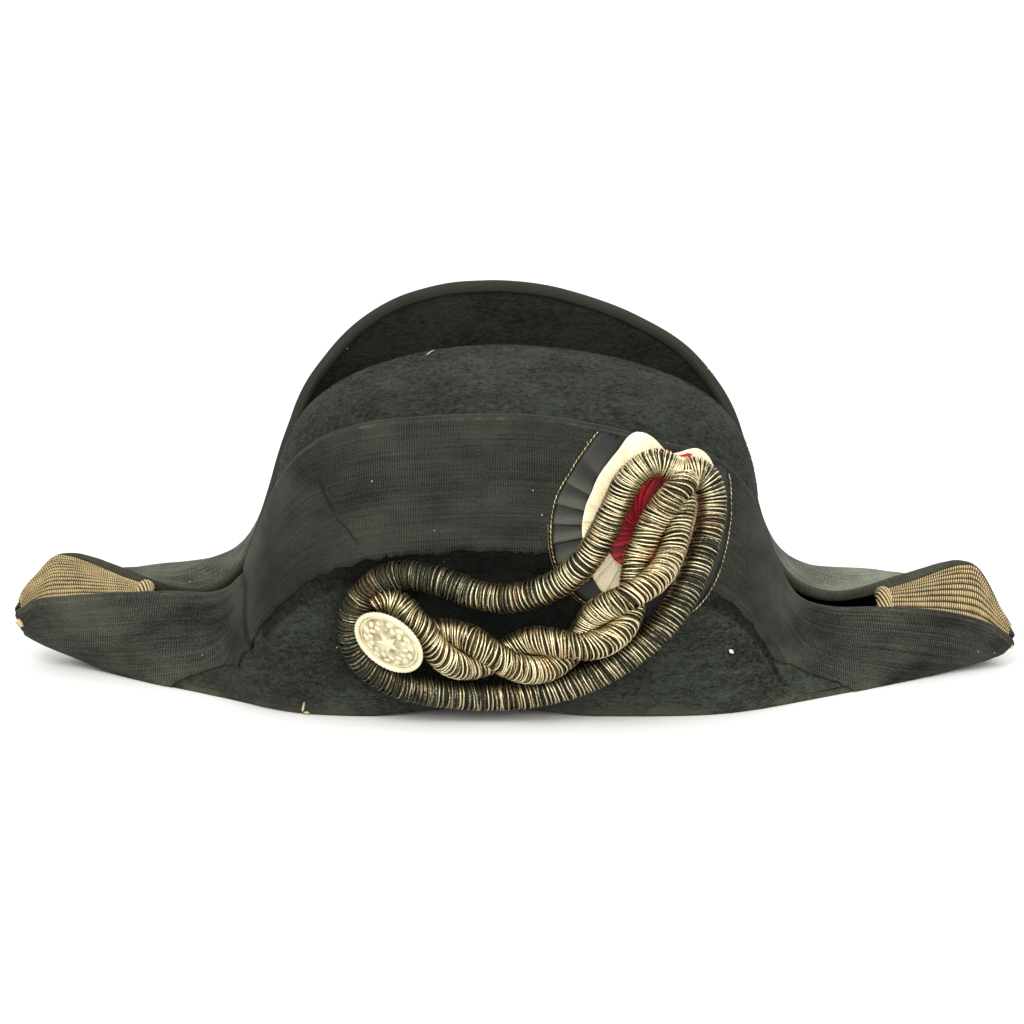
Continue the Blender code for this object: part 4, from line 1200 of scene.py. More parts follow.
@dataclass
class Ribbon:
    """A wide ribbon on one leaf. It wraps over the rim as a bound edge and down inside.

    first and last are its places in the brim's ring of sections. Its lower edge leaves the
    fold at points, left and right, and is foot over it at points_end.
    """

    brim: Brim
    name: str
    node: str
    first: float
    last: float
    far: bool = False
    points: tuple[float, float] = (0.156, 0.153)
    points_end: float = 0.110
    foot: float = 0.0270
    least_plush: float = 0.0095
    wrap: float = 0.0026
    thick: float = 0.0008
    crest: float = 0.0011
    cap: float = 0.0025

    def fade(self, skin: np.ndarray) -> np.ndarray:
        """Tone of the silk: lightest on the points, darkest low on the left bulge.

        Args:
            skin: points of the ribbon.

        Returns:
            One tone a point.
        """
        x, z = skin[..., 0] / MM, skin[..., 2] / MM
        if self.far:
            return 0.10 + 0.19 * smooth_step(105.0, 125.0, np.abs(x)) + 0.15 * smooth_step(110.0, 128.0, x)
        bulge = smooth_step(-128.0, -108.0, x) * smooth_step(-66.0, -84.0, x) * smooth_step(95.0, 55.0, z)
        points = smooth_step(104.0, 122.0, np.abs(x))
        return 0.061 + 0.047 * points - 0.016 * bulge

    def covered(self, grid: np.ndarray) -> np.ndarray:
        """Rows of a brim grid under the ribbon, which runs down to the fold on the points.

        On the near leaf its first row lies over the fold by what is left of the distance to
        the point's start, up to `foot`, made ragged by noise, or by its usual edge where
        that is higher. The other rows are spread evenly above it.

        Args:
            grid: values of this ribbon's stations, in rows as the brim has them.

        Returns:
            One row more for each row of the ribbon.
        """
        brim = self.brim
        here = (brim.places > self.first) & (brim.places < self.last)
        x = brim.outer[here][:, brim.edge_row, 0]
        ends = np.where(x < 0.0, self.points[0] + x, self.points[1] - x) / (self.points[0] - self.points_end)
        wanted = self.foot * np.clip(ends, 0.0, 1.0) + 0.0007 * lattice_noise(x / 0.0023 + 99, x * 0, 17)
        fold = brim.under_rows - 1
        lengths = brim.from_rim[here][:, fold:fold + 1] - brim.from_rim[here]
        rows = np.arange(grid.shape[1])
        start = np.array([np.interp(want, line, rows) for want, line in zip(wanted, lengths)])
        usual = brim.edge_row + 0.35 * lattice_noise(x / 0.0019 + 99, x * 0, 18)
        if self.far:
            start = np.full(len(x), float(brim.edge_row))
        else:
            start = np.where(lengths[:, brim.edge_row] > self.least_plush, np.maximum(start, usual), start)
        start = np.maximum(start, fold + 0.6)
        last = grid.shape[1] - 1
        rows = start[:, None] + (last - start[:, None]) * np.linspace(0.0, 1.0, brim.ribbon_rows + 7)[None, :]
        low = np.minimum(rows.astype(int), last - 1)
        station = np.arange(len(grid))[:, None]
        return mix(grid[station, low], grid[station, low + 1], (rows - low)[..., None])

    def build(self, finish: Material) -> None:
        """The ribbon as one closed sheet.

        The path across it runs up the outer face, over the rim on a half ellipse and down
        the inner face; v is the distance from the rim, below 0 inside.

        Args:
            finish: ribbed silk.
        """
        brim = self.brim
        here = (brim.places > self.first) & (brim.places < self.last)
        grids = (brim.outer, brim.normal, brim.from_rim[..., None])
        outer, normal, away = (self.covered(grid[here]) for grid in grids)
        normal, away = unit(normal), away[..., 0]
        rim, out = outer[:, -1:], normal[:, -1:]
        up = unit(outer[:, -1:] - outer[:, -3:-2])
        turn = np.linspace(0.0, math.pi, 9)[None, 1:-1, None]
        deep = np.linspace(0.0, 1.0, 4)[1:] * self.wrap
        skin = outer - normal * brim.felt
        down = np.stack([read_points(deep, a[::-1], line[::-1]) for a, line in zip(away, skin)])
        inward = -np.broadcast_to(out, down.shape)

        def at(lift: float) -> np.ndarray:
            """The path across at a height over the felt, never below the table.

            Args:
                lift: the height.

            Returns:
                Points of shape (stations, across, 3).
            """
            cap = rim - out * 0.5 * brim.felt
            cap = cap + out * (0.5 * brim.felt + lift) * np.cos(turn)
            cap = cap + up * (self.crest + lift) * np.sin(turn)
            path = np.concatenate([outer + normal * lift, cap, down + inward * lift], axis=1)
            path[..., 2] = np.maximum(path[..., 2], 0.00002)
            return path

        upper, under = at(GAP + self.thick), at(GAP * 0.5)
        column = np.ones((len(outer), 1))
        over_cap = -np.linspace(0.0, self.cap, 9)[None, 1:-1] * column
        across = np.concatenate([away, over_cap, -self.cap - deep[None, :] * column], axis=1)
        uv = np.stack([np.broadcast_to(brim.along[here][:, :1], across.shape), across], axis=-1)
        sheet = Sheet()
        sheet.shell(upper, under, uv, False, np.stack([self.fade(upper)] * 2))
        ribbon = sheet.build(self.name, finish, "ribbon", self.node)
        widths = run_lengths(upper)[:, -1]
        length = float(run_lengths(upper[:, 3])[-1])
        broad = float(widths.max())
        LOG.info("%s: %.0f x %.0f mm", self.name, 1000 * broad, 1000 * length)


@dataclass
class LeafFace:
    """Outer face of the near leaf as a map of y over x and z, for what is laid on it."""

    brim: Brim
    step: float = 0.0005
    xs: np.ndarray = field(init=False, repr=False)
    zs: np.ndarray = field(init=False, repr=False)
    depth: np.ndarray = field(init=False, repr=False)
    rim: np.ndarray = field(init=False, repr=False)

    def __post_init__(self) -> None:
        """Read each section at even heights, then each height at even places along."""
        brim = self.brim
        here = (brim.places > 0.8) & (brim.places < len(NEAR_SECTIONS) + 0.2)
        leaf = brim.outer[here][:, brim.under_rows - 1:]
        self.rim = leaf[:, -1]
        self.zs = np.arange(0.0, brim.near_height + 0.002, self.step)
        self.xs = np.arange(-0.95 * brim.half_length, 0.95 * brim.half_length, self.step)
        rising = np.maximum.accumulate(leaf[..., 2] + 1e-7 * np.arange(leaf.shape[1]), axis=1)
        along = np.stack([np.interp(self.zs, z, line[:, 0]) for z, line in zip(rising, leaf)])
        out = np.stack([np.interp(self.zs, z, line[:, 1]) for z, line in zip(rising, leaf)])
        self.depth = np.stack([
            np.interp(self.xs, np.maximum.accumulate(along[:, k]), out[:, k]) for k in range(len(self.zs))
        ], axis=1)

    def rim_height(self, x: np.ndarray) -> np.ndarray:
        """Height of the leaf's rim at places along the hat."""
        return np.interp(x, self.rim[:, 0], self.rim[:, 2])

    def read(self, x: np.ndarray, z: np.ndarray) -> np.ndarray:
        """The leaf's y at x and z, even between the four nearest places of the map.

        Args:
            x: places along the hat.
            z: heights.

        Returns:
            One y a place.
        """
        u = np.clip((x - self.xs[0]) / self.step, 0.0, len(self.xs) - 1.001)
        v = np.clip(z / self.step, 0.0, len(self.zs) - 1.001)
        i, j = u.astype(int), v.astype(int)
        return cell_value(self.depth, i, j, u - i, v - j)

    def stand(self, x: np.ndarray, z: np.ndarray, lift: np.ndarray | float) -> np.ndarray:
        """Points that stand off the leaf by lift, measured square to its face.

        Above the rim the leaf is read 2 mm under its rim. The slant comes from the map's
        slopes over 4 mm.

        Args:
            x: places along the hat.
            z: heights.
            lift: how far off.

        Returns:
            Points of shape x.shape + (3,).
        """
        reach = np.minimum(z, self.rim_height(x) - 2 * MM)
        wide = 2 * MM
        slope_x = (self.read(x + wide, reach) - self.read(x - wide, reach)) / (2 * wide)
        low = np.minimum(reach, self.rim_height(x) - 2 * wide)
        slope_z = (self.read(x, low + wide) - self.read(x, low - wide)) / (2 * wide)
        slant = np.maximum(1.0 / np.sqrt(1.0 + slope_x**2 + slope_z**2), 0.5)
        return np.stack([x, self.read(x, reach) - lift / slant, z], axis=-1)


# The cockade

# Its middle: along the hat and up
COCKADE = (0.0548, 0.0850)


class Pleat(NamedTuple):
    """One fan fold: where it starts, in degrees from +X, how wide, and how high in mm."""

    start: float
    width: float
    height: float


class Reach(NamedTuple):
    """How far a band's edge is from the middle at an angle: degrees from +X, and mm."""

    degrees: float
    radius: float


# The ribbon's mitre and its lesser pleats: painted shade in their creases, as darker lines in the silk
SEAM_SHADE_LINES = tuple(starmap(Crease, (
    (-86.0, 104.5, -76.8, 87.7, 0.95, 1.1), (-78.0, 89.5, -66.5, 75.5, 0.80, 1.0),
    (-119.7, 51.0, -117.0, 27.0, 1.00, 2.6), (-117.8, 31.0, -104.5, 16.5, 1.00, 2.6),
    (108.0, 34.0, 121.0, 14.0, 0.40, 1.6),
)))
BLACK_FOLDS = tuple(starmap(Pleat, (
    (100.0, 34.0, 0.50), (134.0, 17.0, 1.00), (151.0, 15.0, 1.50), (166.0, 13.0, 1.70),
    (179.0, 12.0, 1.70),
    (191.0, 14.0, 1.60), (205.0, 16.0, 1.40), (221.0, 22.0, 1.10), (243.0, 30.0, 0.80),
    (273.0, 34.0, 0.50),
    (307.0, 40.0, 0.30), (347.0, 48.0, 0.25), (35.0, 65.0, 0.25),
)))
CREAM_FOLDS = tuple(starmap(Pleat, (
    (74.0, 28.0, 0.90), (102.0, 34.0, 0.35), (136.0, 22.0, 0.50), (158.0, 17.0, 0.80),
    (175.0, 17.0, 1.10),
    (192.0, 20.0, 1.40), (212.0, 17.0, 1.50), (229.0, 12.0, 1.60), (241.0, 13.0, 1.60),
    (254.0, 20.0, 1.30),
    (274.0, 32.0, 0.90), (306.0, 34.0, 0.80), (340.0, 34.0, 0.80), (14.0, 34.0, 1.10),
    (48.0, 26.0, 1.20),
)))
RED_FOLDS = tuple(
    Pleat(15.0 * k + 4.0 * math.sin(2.3 * k), 15.0, 1.7 + 0.4 * math.sin(1.7 * k)) for k in range(24)
)
PIPING_EDGE = tuple(starmap(Reach, (
    (9.0, 39.4), (25.0, 41.8), (40.0, 43.5), (90.0, 48.0), (114.0, 45.2), (127.0, 41.3),
    (144.0, 38.9), (159.0, 39.3), (179.0, 39.3), (198.0, 40.3), (218.0, 41.4), (237.0, 40.8),
    (265.0, 42.0), (295.0, 44.2), (306.0, 43.4), (322.0, 41.0), (337.0, 39.0), (351.0, 38.5),
)))
CREAM_EDGE = tuple(starmap(Reach, (
    (14.0, 33.0), (32.0, 36.9), (39.0, 39.0), (46.0, 39.7), (55.0, 38.8), (60.0, 34.5),
    (70.0, 31.5), (77.0, 34.5), (84.0, 38.0), (91.0, 40.3), (97.0, 40.3), (107.0, 34.4),
    (118.0, 31.3), (128.0, 29.5), (145.0, 26.6), (168.0, 26.0), (201.0, 26.3), (222.0, 29.5),
    (239.0, 32.9), (256.0, 31.6), (280.0, 28.0), (330.0, 27.0),
)))
RED_EDGE = tuple(starmap(Reach, (
    (20.0, 18.0), (46.0, 27.0), (51.0, 35.5), (57.0, 36.0), (62.0, 31.0), (68.0, 33.5),
    (74.0, 35.0), (80.0, 27.0), (90.0, 20.5), (150.0, 17.0), (200.0, 17.0), (238.0, 18.4),
    (300.0, 18.0),
)))


def edge_at(table: tuple[Reach, ...], degrees: np.ndarray) -> np.ndarray:
    """The table's radius in metres at angles, even between its rows all round.

    Args:
        table: an edge's reaches, by rising angle.
        degrees: angles.

    Returns:
        One radius an angle, blurred over 3 degrees.
    """
    angle, radius = np.array([tuple(row) for row in table]).T
    angle = np.concatenate([angle[-1:] - 360.0, angle, angle[:1] + 360.0])
    radius = np.concatenate([radius[-1:], radius, radius[:1]])
    around = (degrees - angle[1]) % 360.0 + angle[1]
    blurred = [np.interp(around + sway, angle, radius) for sway in (-3.0, 0.0, 3.0)]
    return np.mean(blurred, axis=0) * MM


@dataclass
class PleatedBand:
    """A ring of ribbon gathered into fan folds, laid on the near leaf.

    tone is the cloth's, and shade the share of it that is left in the hollows as painted shade. A clipped
    band ends at the leaf's rim. swirl turns its inner edge, and ruffle waves its outer one.
    """

    face: LeafFace
    name: str
    node: str
    hole: float
    lift: float
    edge: tuple[Reach, ...]
    folds: tuple[Pleat, ...]
    tone: float
    shade: float
    inset: float = 0.0
    clipped: bool = False
    inner_height: float = 0.35
    outer_height: float = 1.0
    ruffle: float = 0.0
    swirl: float = 0.0
    thick: float = 0.0006
    uneven: float = 0.12
    least_area: float = 0.31
    around: int = 600
    rings: int = 15

    def fold_lift(self, degrees: np.ndarray, share: np.ndarray) -> np.ndarray:
        """Height of the folds: each rises evenly over its width and drops at its end.

        Args:
            degrees: angle round the band.
            share: 0 at the hole to 1 at the edge.

        Returns:
            Heights in metres.
        """
        height = np.zeros(np.broadcast(degrees, share).shape)
        for pleat in self.folds:
            part = ((degrees - pleat.start) % 360.0) / pleat.width
            rise = part**1.4 * smooth_step(1.0, 0.86, part)
            height = np.where(part < 1.0, pleat.height * rise, height)
        return height * MM * (self.inner_height + (self.outer_height - self.inner_height) * share)

    def build(self, finish: Material) -> None:
        """The band as a closed sheet; u runs round it and v in from its edge, in metres.

        Args:
            finish: silk.
        """
        turn = np.linspace(2.0 * math.pi, 0.0, self.around, endpoint=False)[:, None]
        share = np.linspace(0.0, 1.0, self.rings)[None, :]
        wave = 1.0 + self.ruffle * lattice_noise(turn * 4.0 + 50, 0 * turn + 3, 11)
        radius = edge_at(self.edge, np.degrees(turn)) - self.inset
        reach = self.hole + (radius * wave - self.hole) * share
        bent = turn + self.swirl * (1.0 - share)
        x = COCKADE[0] + reach * np.cos(bent)
        z = COCKADE[1] + reach * np.sin(bent)
        if self.clipped:
            z = np.minimum(z, self.face.rim_height(x) - 0.4 * MM)
        degrees = np.degrees(turn) + 0.0 * share
        folded = self.fold_lift(degrees, share)
        ripple = self.uneven * MM * lattice_noise(degrees / 7 + 90, share * 3 + 20, 12) * share
        lift = self.lift + folded + ripple
        upper, lower = (self.face.stand(x, z, lift + off) for off in (self.thick, 0.0))
        around, broad = float(radius.mean()), float(radius.mean()) - self.hole
        uv = np.stack([turn * around + 0.0 * share, (1.0 - share) * broad + 0.0 * turn], axis=-1)
        # Painted shade: the low side of each fold keeps only shade's share of the tone
        height = folded / (MM * max(f.height for f in self.folds))
        tone = self.tone * (self.shade + (1.0 - self.shade) * smooth_step(0.0, 0.35, height))
        sheet = Sheet()
        sheet.shell(upper, lower, uv, True, np.stack([tone] * 2))
        band = sheet.build(self.name, finish, self.name.replace("_band", "_silk"), self.node)
        run = float(run_lengths(upper[:, -1])[-1])
        wide = float(radius.max()) - self.hole
        LOG.info("%s: %.0f mm of ribbon %.0f mm wide", self.name, 1000 * run, 1000 * wide)


# Cords


class CordPoint(NamedTuple):
    """A point of a cord's route: along, height, and how high its centre stands off."""

    along: float
    up: float
    lift: float


class Spacing(NamedTuple):
    """Distance between turns at a share of the cord's length, in mm, and how bright they are."""

    share: float
    between: float
    gleam: float


LOOP_ROUTE = tuple(starmap(CordPoint, (
    (0.0700, 0.1090, 0.0129), (0.0600, 0.1135, 0.0133), (0.0495, 0.1080, 0.0135),
    (0.0430, 0.0965, 0.0135), (0.0370, 0.0840, 0.0133), (0.0290, 0.0715, 0.0123),
    (0.0155, 0.0610, 0.0095), (-0.0020, 0.0557, 0.0071), (-0.0170, 0.0575, 0.0071),
    (-0.0320, 0.0630, 0.0071), (-0.0490, 0.0655, 0.0071), (-0.0615, 0.0600, 0.0071),
    (-0.0690, 0.0490, 0.0071), (-0.0695, 0.0360, 0.0071), (-0.0625, 0.0250, 0.0071),
    (-0.0500, 0.0175, 0.0071), (-0.0320, 0.0132, 0.0071), (-0.0095, 0.0115, 0.0071),
    (0.0135, 0.0142, 0.0071), (0.0355, 0.0222, 0.0076), (0.0560, 0.0365, 0.0097),
    (0.0710, 0.0545, 0.0119), (0.0805, 0.0745, 0.0121), (0.0845, 0.0910, 0.0121),
    (0.0832, 0.1020, 0.0125), (0.0780, 0.1085, 0.0127),
)))
TWIST_ROUTE = tuple(starmap(CordPoint, (
    (-0.0620, 0.0482, 0.0100), (-0.0555, 0.0492, 0.0118), (-0.0470, 0.0445, 0.0124),
    (-0.0400, 0.0420, 0.0126), (-0.0320, 0.0380, 0.0128), (-0.0225, 0.0338, 0.0132),
    (-0.0105, 0.0315, 0.0136), (0.0020, 0.0315, 0.0139), (0.0150, 0.0335, 0.0144),
    (0.0275, 0.0385, 0.0154), (0.0385, 0.0465, 0.0174), (0.0475, 0.0565, 0.0189),
    (0.0545, 0.0675, 0.0199), (0.0605, 0.0790, 0.0204), (0.0635, 0.0885, 0.0220),
    (0.0665, 0.0960, 0.0242), (0.0692, 0.1030, 0.0262), (0.0706, 0.1070, 0.0265),
    (0.0716, 0.1105, 0.0262),
)))
LOOP_SPACING = tuple(starmap(Spacing, (
    (0.00, 1.30, 1.00), (0.05, 1.40, 1.10), (0.12, 1.85, 0.92), (0.20, 2.05, 0.66),
    (0.30, 1.80, 0.54),
    (0.36, 1.60, 0.24), (0.50, 1.60, 0.24), (0.58, 1.75, 0.56), (0.74, 1.75, 0.62),
    (0.84, 1.90, 0.52),
    (0.94, 1.75, 0.62), (1.00, 1.30, 0.95),
)))
TWIST_SPACING = tuple(starmap(Spacing, (
    (0.0, 1.60, 0.66), (0.5, 1.60, 0.78), (1.0, 1.70, 0.72),
)))


@dataclass
class Wire:
    """One wire wound on a cord: its centre's radius, thickness and manner of lying."""

    radius: float
    thick: float
    start: float
    slant: float
    stray: float
    seed: int
    tone: float
    sides: int
    steps: int


def add_tube(
    sheet: Sheet, centre: np.ndarray, out: np.ndarray, radii: np.ndarray,
    sides: int, closed: bool, tone: np.ndarray,
) -> None:
    """Carry a circle along a line: centre + radius (out cos a + side sin a).

    Args:
        sheet: where it goes.
        centre: the line, shape (n, 3).
        out: a direction square to it at each point.
        radii: one radius a point, 0 at an end that closes to a point.
        sides: points of the circle.
        closed: the line is a ring.
        tone: one tone a point of the line.
    """
    if closed:
        ahead = np.roll(centre, -1, axis=0) - np.roll(centre, 1, axis=0)
    else:
        ahead = np.gradient(centre, axis=0)
    side = unit(np.cross(unit(ahead), out))
    turn = circle(sides)[None, :, None]
    rings = out[:, None] * np.cos(turn) + side[:, None] * np.sin(turn)
    points = centre[:, None] + radii[:, None, None] * rings
    passed = np.arange(len(centre)) / len(centre)
    uv = np.stack(np.broadcast_arrays(passed[:, None], turn[..., 0]), -1)
    sheet.add(points, grid_faces(len(centre), sides, closed, True), uv, tone[:, None].repeat(sides, 1))


@dataclass
class WoundCord:
    """A cord wound with coiled gilt wires that lie side by side on a dark core."""

    node: str
    line: np.ndarray
    cyclic: bool
    spacing: tuple[Spacing, ...]
    wires: tuple[Wire, ...]
    core: float
    end: float = 0.0060
    uneven: float = 0.16
    samples: int = 4000
    core_sides: int = 14
    core_rows: int = 200

    def rounded(self, travelled: np.ndarray, length: float) -> np.ndarray:
        """Share of the full radius along the cord: an open cord closes at both ends."""
        return np.ones(len(travelled)) if self.cyclic else closing(travelled, length, self.end)

    def read_line(
        self, travelled: np.ndarray, length: float, arrays: tuple[np.ndarray, ...]
    ) -> list[np.ndarray]:
        """Values of arrays along the line at lengths travelled.

        Args:
            travelled: lengths from the start; a ring wraps round.
            length: the whole length.
            arrays: one row a point of the line, with the first row repeated for a ring.

        Returns:
            One array a given array.
        """
        at = travelled % length if self.cyclic else np.clip(travelled, 0.0, length)
        passed = np.linspace(0.0, length, len(arrays[0]))
        return [read_points(at, passed, values) for values in arrays]


    def build(self, metal: Material, core_finish: Material) -> None:
        """The wires and the core.

        The wire's centre is line(s + slant sin a) + radius (across cos a + out sin a), where
        a grows by a whole turn each spacing, and slow noise sways slant and radius.

        Args:
            metal: finish of the wires.
            core_finish: finish of the core.
        """
        arrays = (self.line, *carried_frame(self.line, self.cyclic)[1:])
        if self.cyclic:
            arrays = tuple(np.concatenate([values, values[:1]]) for values in arrays)
        length = float(run_lengths(arrays[0])[-1])
        passed = np.linspace(0.0, length, self.samples)
        share, between, gleams = np.array(self.spacing).T
        between = np.interp(passed / length, share, between) * MM
        turns = np.concatenate([[0.0], np.cumsum(np.diff(passed) / between[1:])])
        whole = round(turns[-1])
        turns *= whole / turns[-1]
        wound = Sheet()
        for wire in self.wires:
            count = whole * wire.steps
            turned = np.linspace(0.0, whole, count, endpoint=not self.cyclic)
            angle = 2.0 * math.pi * (turned + wire.start)
            fade = np.sin(math.pi * turned / whole) ** 0.2 if self.cyclic else 1.0
            nought = turned * 0
            drift = lattice_noise(turned * 0.37, nought + wire.seed, wire.seed)
            jolt = lattice_noise(turned * 1.9, nought + 7, wire.seed + 1)
            wobble = lattice_noise(angle * 1.3, turned * 0.21, wire.seed + 2)
            shift = wire.slant * np.sin(angle + 0.6) * (1.0 + 0.5 * drift)
            shift = shift + wire.stray * (0.7 * jolt + 0.5 * wobble) * fade
            travelled = np.interp(turned, turns, passed)
            centre, across, out = self.read_line(travelled + shift, length, arrays)
            radial = unit(across) * np.cos(angle)[:, None] + unit(out) * np.sin(angle)[:, None]
            uneven = self.uneven * MM * lattice_noise(turned * 0.9, nought + 5, wire.seed + 3)
            reach = (wire.radius + uneven * fade) * self.rounded(travelled, length)
            radii = np.full(count, wire.thick)
            if not self.cyclic:
                radii[[0, -1]] = 0.0
            gleam = np.interp(turned, turns, np.interp(passed / length, share, gleams))
            patchy = lattice_noise(turned * 0.8, nought + 9, wire.seed + 4)
            patchy = patchy + lattice_noise(angle * 0.9, turned * 0.3, wire.seed + 5)
            tone = np.clip(wire.tone * gleam + (0.12 + 0.20 * gleam) * patchy, 0.0, 1.0)
            add_tube(wound, centre + radial * reach[:, None], radial, radii, wire.sides, self.cyclic, tone)
        name = self.node + "_wires"
        wound.build(name, metal, "bullion", self.node, weld=not self.cyclic)

        stops = np.linspace(0.0, length, self.core_rows, endpoint=not self.cyclic)
        centre, _, out = self.read_line(stops, length, arrays)
        radii = self.core * self.rounded(stops, length)
        inner = Sheet()
        add_tube(inner, centre, unit(out), radii, self.core_sides, self.cyclic, np.full(len(stops), 0.5))
        inner.build(name + "_core", core_finish, "bullion", weld=not self.cyclic)
        LOG.info("%s: %.0f mm long, %d turns of %d wires", name, 1000 * length, whole, len(self.wires))


def even_line(points: np.ndarray, step: float, cyclic: bool) -> np.ndarray:
    """Points a step apart on a smooth curve through chosen points.

    Args:
        points: the chosen points.
        step: distance between the results, in metres.
        cyclic: the curve is a ring.

    Returns:
        Points of shape (n, 3).
    """
    if cyclic:
        fine = ring_spline(points, np.linspace(0.0, len(points), 60 * len(points)))
    else:
        fine = spline(points, np.linspace(0.0, len(points) - 1.0, 60 * len(points)))
    lengths = run_lengths(fine)
    stops = np.linspace(0.0, lengths[-1], round(lengths[-1] / step), endpoint=not cyclic)
    return read_points(stops, lengths, fine)


@dataclass
class Bullion:
    """The loop from the cockade round the button, and the twisted pair inside it.

    lead is how far along the pair its first crossing is, start is the strands' angle
    there, still is where the pair stops turning, from its end, and trims are what each
    strand lacks at its two ends. A lay is a wire's slant and how far it strays, and a sink
    how far the core lies under the cord's face.
    """

    face: LeafFace
    loop_radius: float = 0.0066
    strand_radius: float = 0.0063
    strand_reach: float = 0.0063
    pitch: float = 0.067
    start: float = 330.0
    lead: float = 0.0165
    bright: float = 0.00038
    dull: float = 0.00030
    loop_lay: tuple[float, float] = (0.0016, 0.00075)
    strand_lay: tuple[float, float] = (0.0027, 0.00065)
    loop_sink: float = 0.0017
    strand_sink: float = 0.0018
    loop_step: float = 0.0015
    strand_step: float = 0.0010
    still: tuple[float, float] = (0.045, 0.004)
    trims: tuple[tuple[float, float], ...] = ((0.016, 0.009), (0.0, 0.0))

    def route(self, table: tuple[CordPoint, ...]) -> np.ndarray:
        """The table's points stood off the leaf."""
        return self.face.stand(*np.array(table).T)

    def wires(self, radius: float, lay: tuple[float, float], seed: int) -> tuple[Wire, ...]:
        """A bright wire and two duller ones a third of a turn apart, the last one deeper; their lower tones
        paint the shade between the turns.

        Args:
            radius: the cord's.
            lay: the wires' slant and how far they stray.
            seed: of their unevenness.

        Returns:
            The three wires.
        """
        slant, stray = lay
        outer = radius - self.bright
        # Tones 1, 0.44 and 0.12: the duller wires paint the shade in the gaps between the bright turns
        return (
            Wire(outer, self.bright, 0.0, slant, stray, seed, 1.0, 5, 20),
            Wire(outer - 0.14 * MM, self.dull, 0.30, slant, 0.8 * stray, seed + 20, 0.44, 5, 18),
            Wire(outer - 0.50 * MM, self.dull, 0.66, slant, stray, seed + 40, 0.12, 4, 16),
        )

    def build(self, metal: Material, bright_metal: Material, core: Material) -> None:
        """The loop and both strands.

        A strand's line is the twist's middle + reach (side cos a + rise sin a), where a
        falls by a whole turn each pitch and the strands are half a turn apart.

        Args:
            metal: the loop's wires.
            bright_metal: the twist's wires.
            core: under the wires.
        """
        line = even_line(self.route(LOOP_ROUTE), self.loop_step, cyclic=True)
        wires = self.wires(self.loop_radius, self.loop_lay, 31)
        loop = WoundCord("bullion_loop", line, True, LOOP_SPACING, wires, self.loop_radius - self.loop_sink)
        loop.build(metal, core)
        middle = even_line(self.route(TWIST_ROUTE), self.strand_step, cyclic=False)
        _, side, rise = carried_frame(middle, cyclic=False)
        travelled = run_lengths(middle)
        length = travelled[-1]
        # The pair stops turning near its top, so that one strand lies over the other
        from_end, to_end = (length - stop for stop in self.still)
        turned = travelled - self.lead - 0.25 * self.pitch * smooth_step(from_end, to_end, travelled)
        for number, trim in enumerate(self.trims):
            angle = math.radians(self.start) + math.pi * number - 2.0 * math.pi * turned / self.pitch
            around = side * np.cos(angle)[:, None] + rise * np.sin(angle)[:, None]
            kept = (travelled >= trim[0]) & (travelled <= length - trim[1])
            line = even_line((middle + self.strand_reach * around)[kept], self.strand_step, cyclic=False)
            wires = self.wires(self.strand_radius, self.strand_lay, 61 + number)
            node = "bullion_twist_" + "ab"[number]
            strand = WoundCord(node, line, False, TWIST_SPACING, wires, self.strand_radius - self.strand_sink)
            strand.build(bright_metal, core)


@dataclass
class Piping:
    """The gilt cord sewn round the cockade: a bright ply and a dark one twisted together.

    start and end are degrees from +X, and outset how far it lies outside the sewn line.
    """

    face: LeafFace
    start: float = -252.0
    end: float = 48.0
    outset: float = 0.0
    ply: float = 0.00022
    reach: float = 0.00016
    pitch: float = 0.0022
    lift: float = 0.0020
    samples: int = 700
    step: float = 0.00025

    def build(self, names: tuple[str, str], bright: Material, dark: Material) -> None:
        """Both plies: the cord's line + reach (across cos a + out sin a), half a turn apart.

        Args:
            names: the plies' names.
            bright: finish of the first ply.
            dark: finish of the second ply.
        """
        turn = np.linspace(math.radians(self.start), math.radians(self.end), self.samples)
        radius = edge_at(PIPING_EDGE, np.degrees(turn)) + self.outset
        x = COCKADE[0] + radius * np.cos(turn)
        z = COCKADE[1] + radius * np.sin(turn)
        keep = z < self.face.rim_height(x) - 0.5 * MM
        line = even_line(self.face.stand(x[keep], z[keep], self.lift), self.step, cyclic=False)
        _, across, out = carried_frame(line, cyclic=False)
        travelled = run_lengths(line)
        tone = 0.6 + 0.3 * lattice_noise(travelled / 0.0021 + 9, travelled * 0 + 3, 71)
        radii = np.full(len(line), self.ply)
        radii[[0, -1]] = 0.0
        for number, (name, finish) in enumerate(zip(names, (bright, dark))):
            angle = (2.0 * math.pi * travelled / self.pitch + math.pi * number)[:, None]
            radial = across * np.cos(angle) + out * np.sin(angle)
            sheet = Sheet()
            add_tube(sheet, line + self.reach * radial, radial, radii, 6, False, tone)
            sheet.build(name, finish, "bullion", "cockade_piping", weld=True)


# The button and the tassels


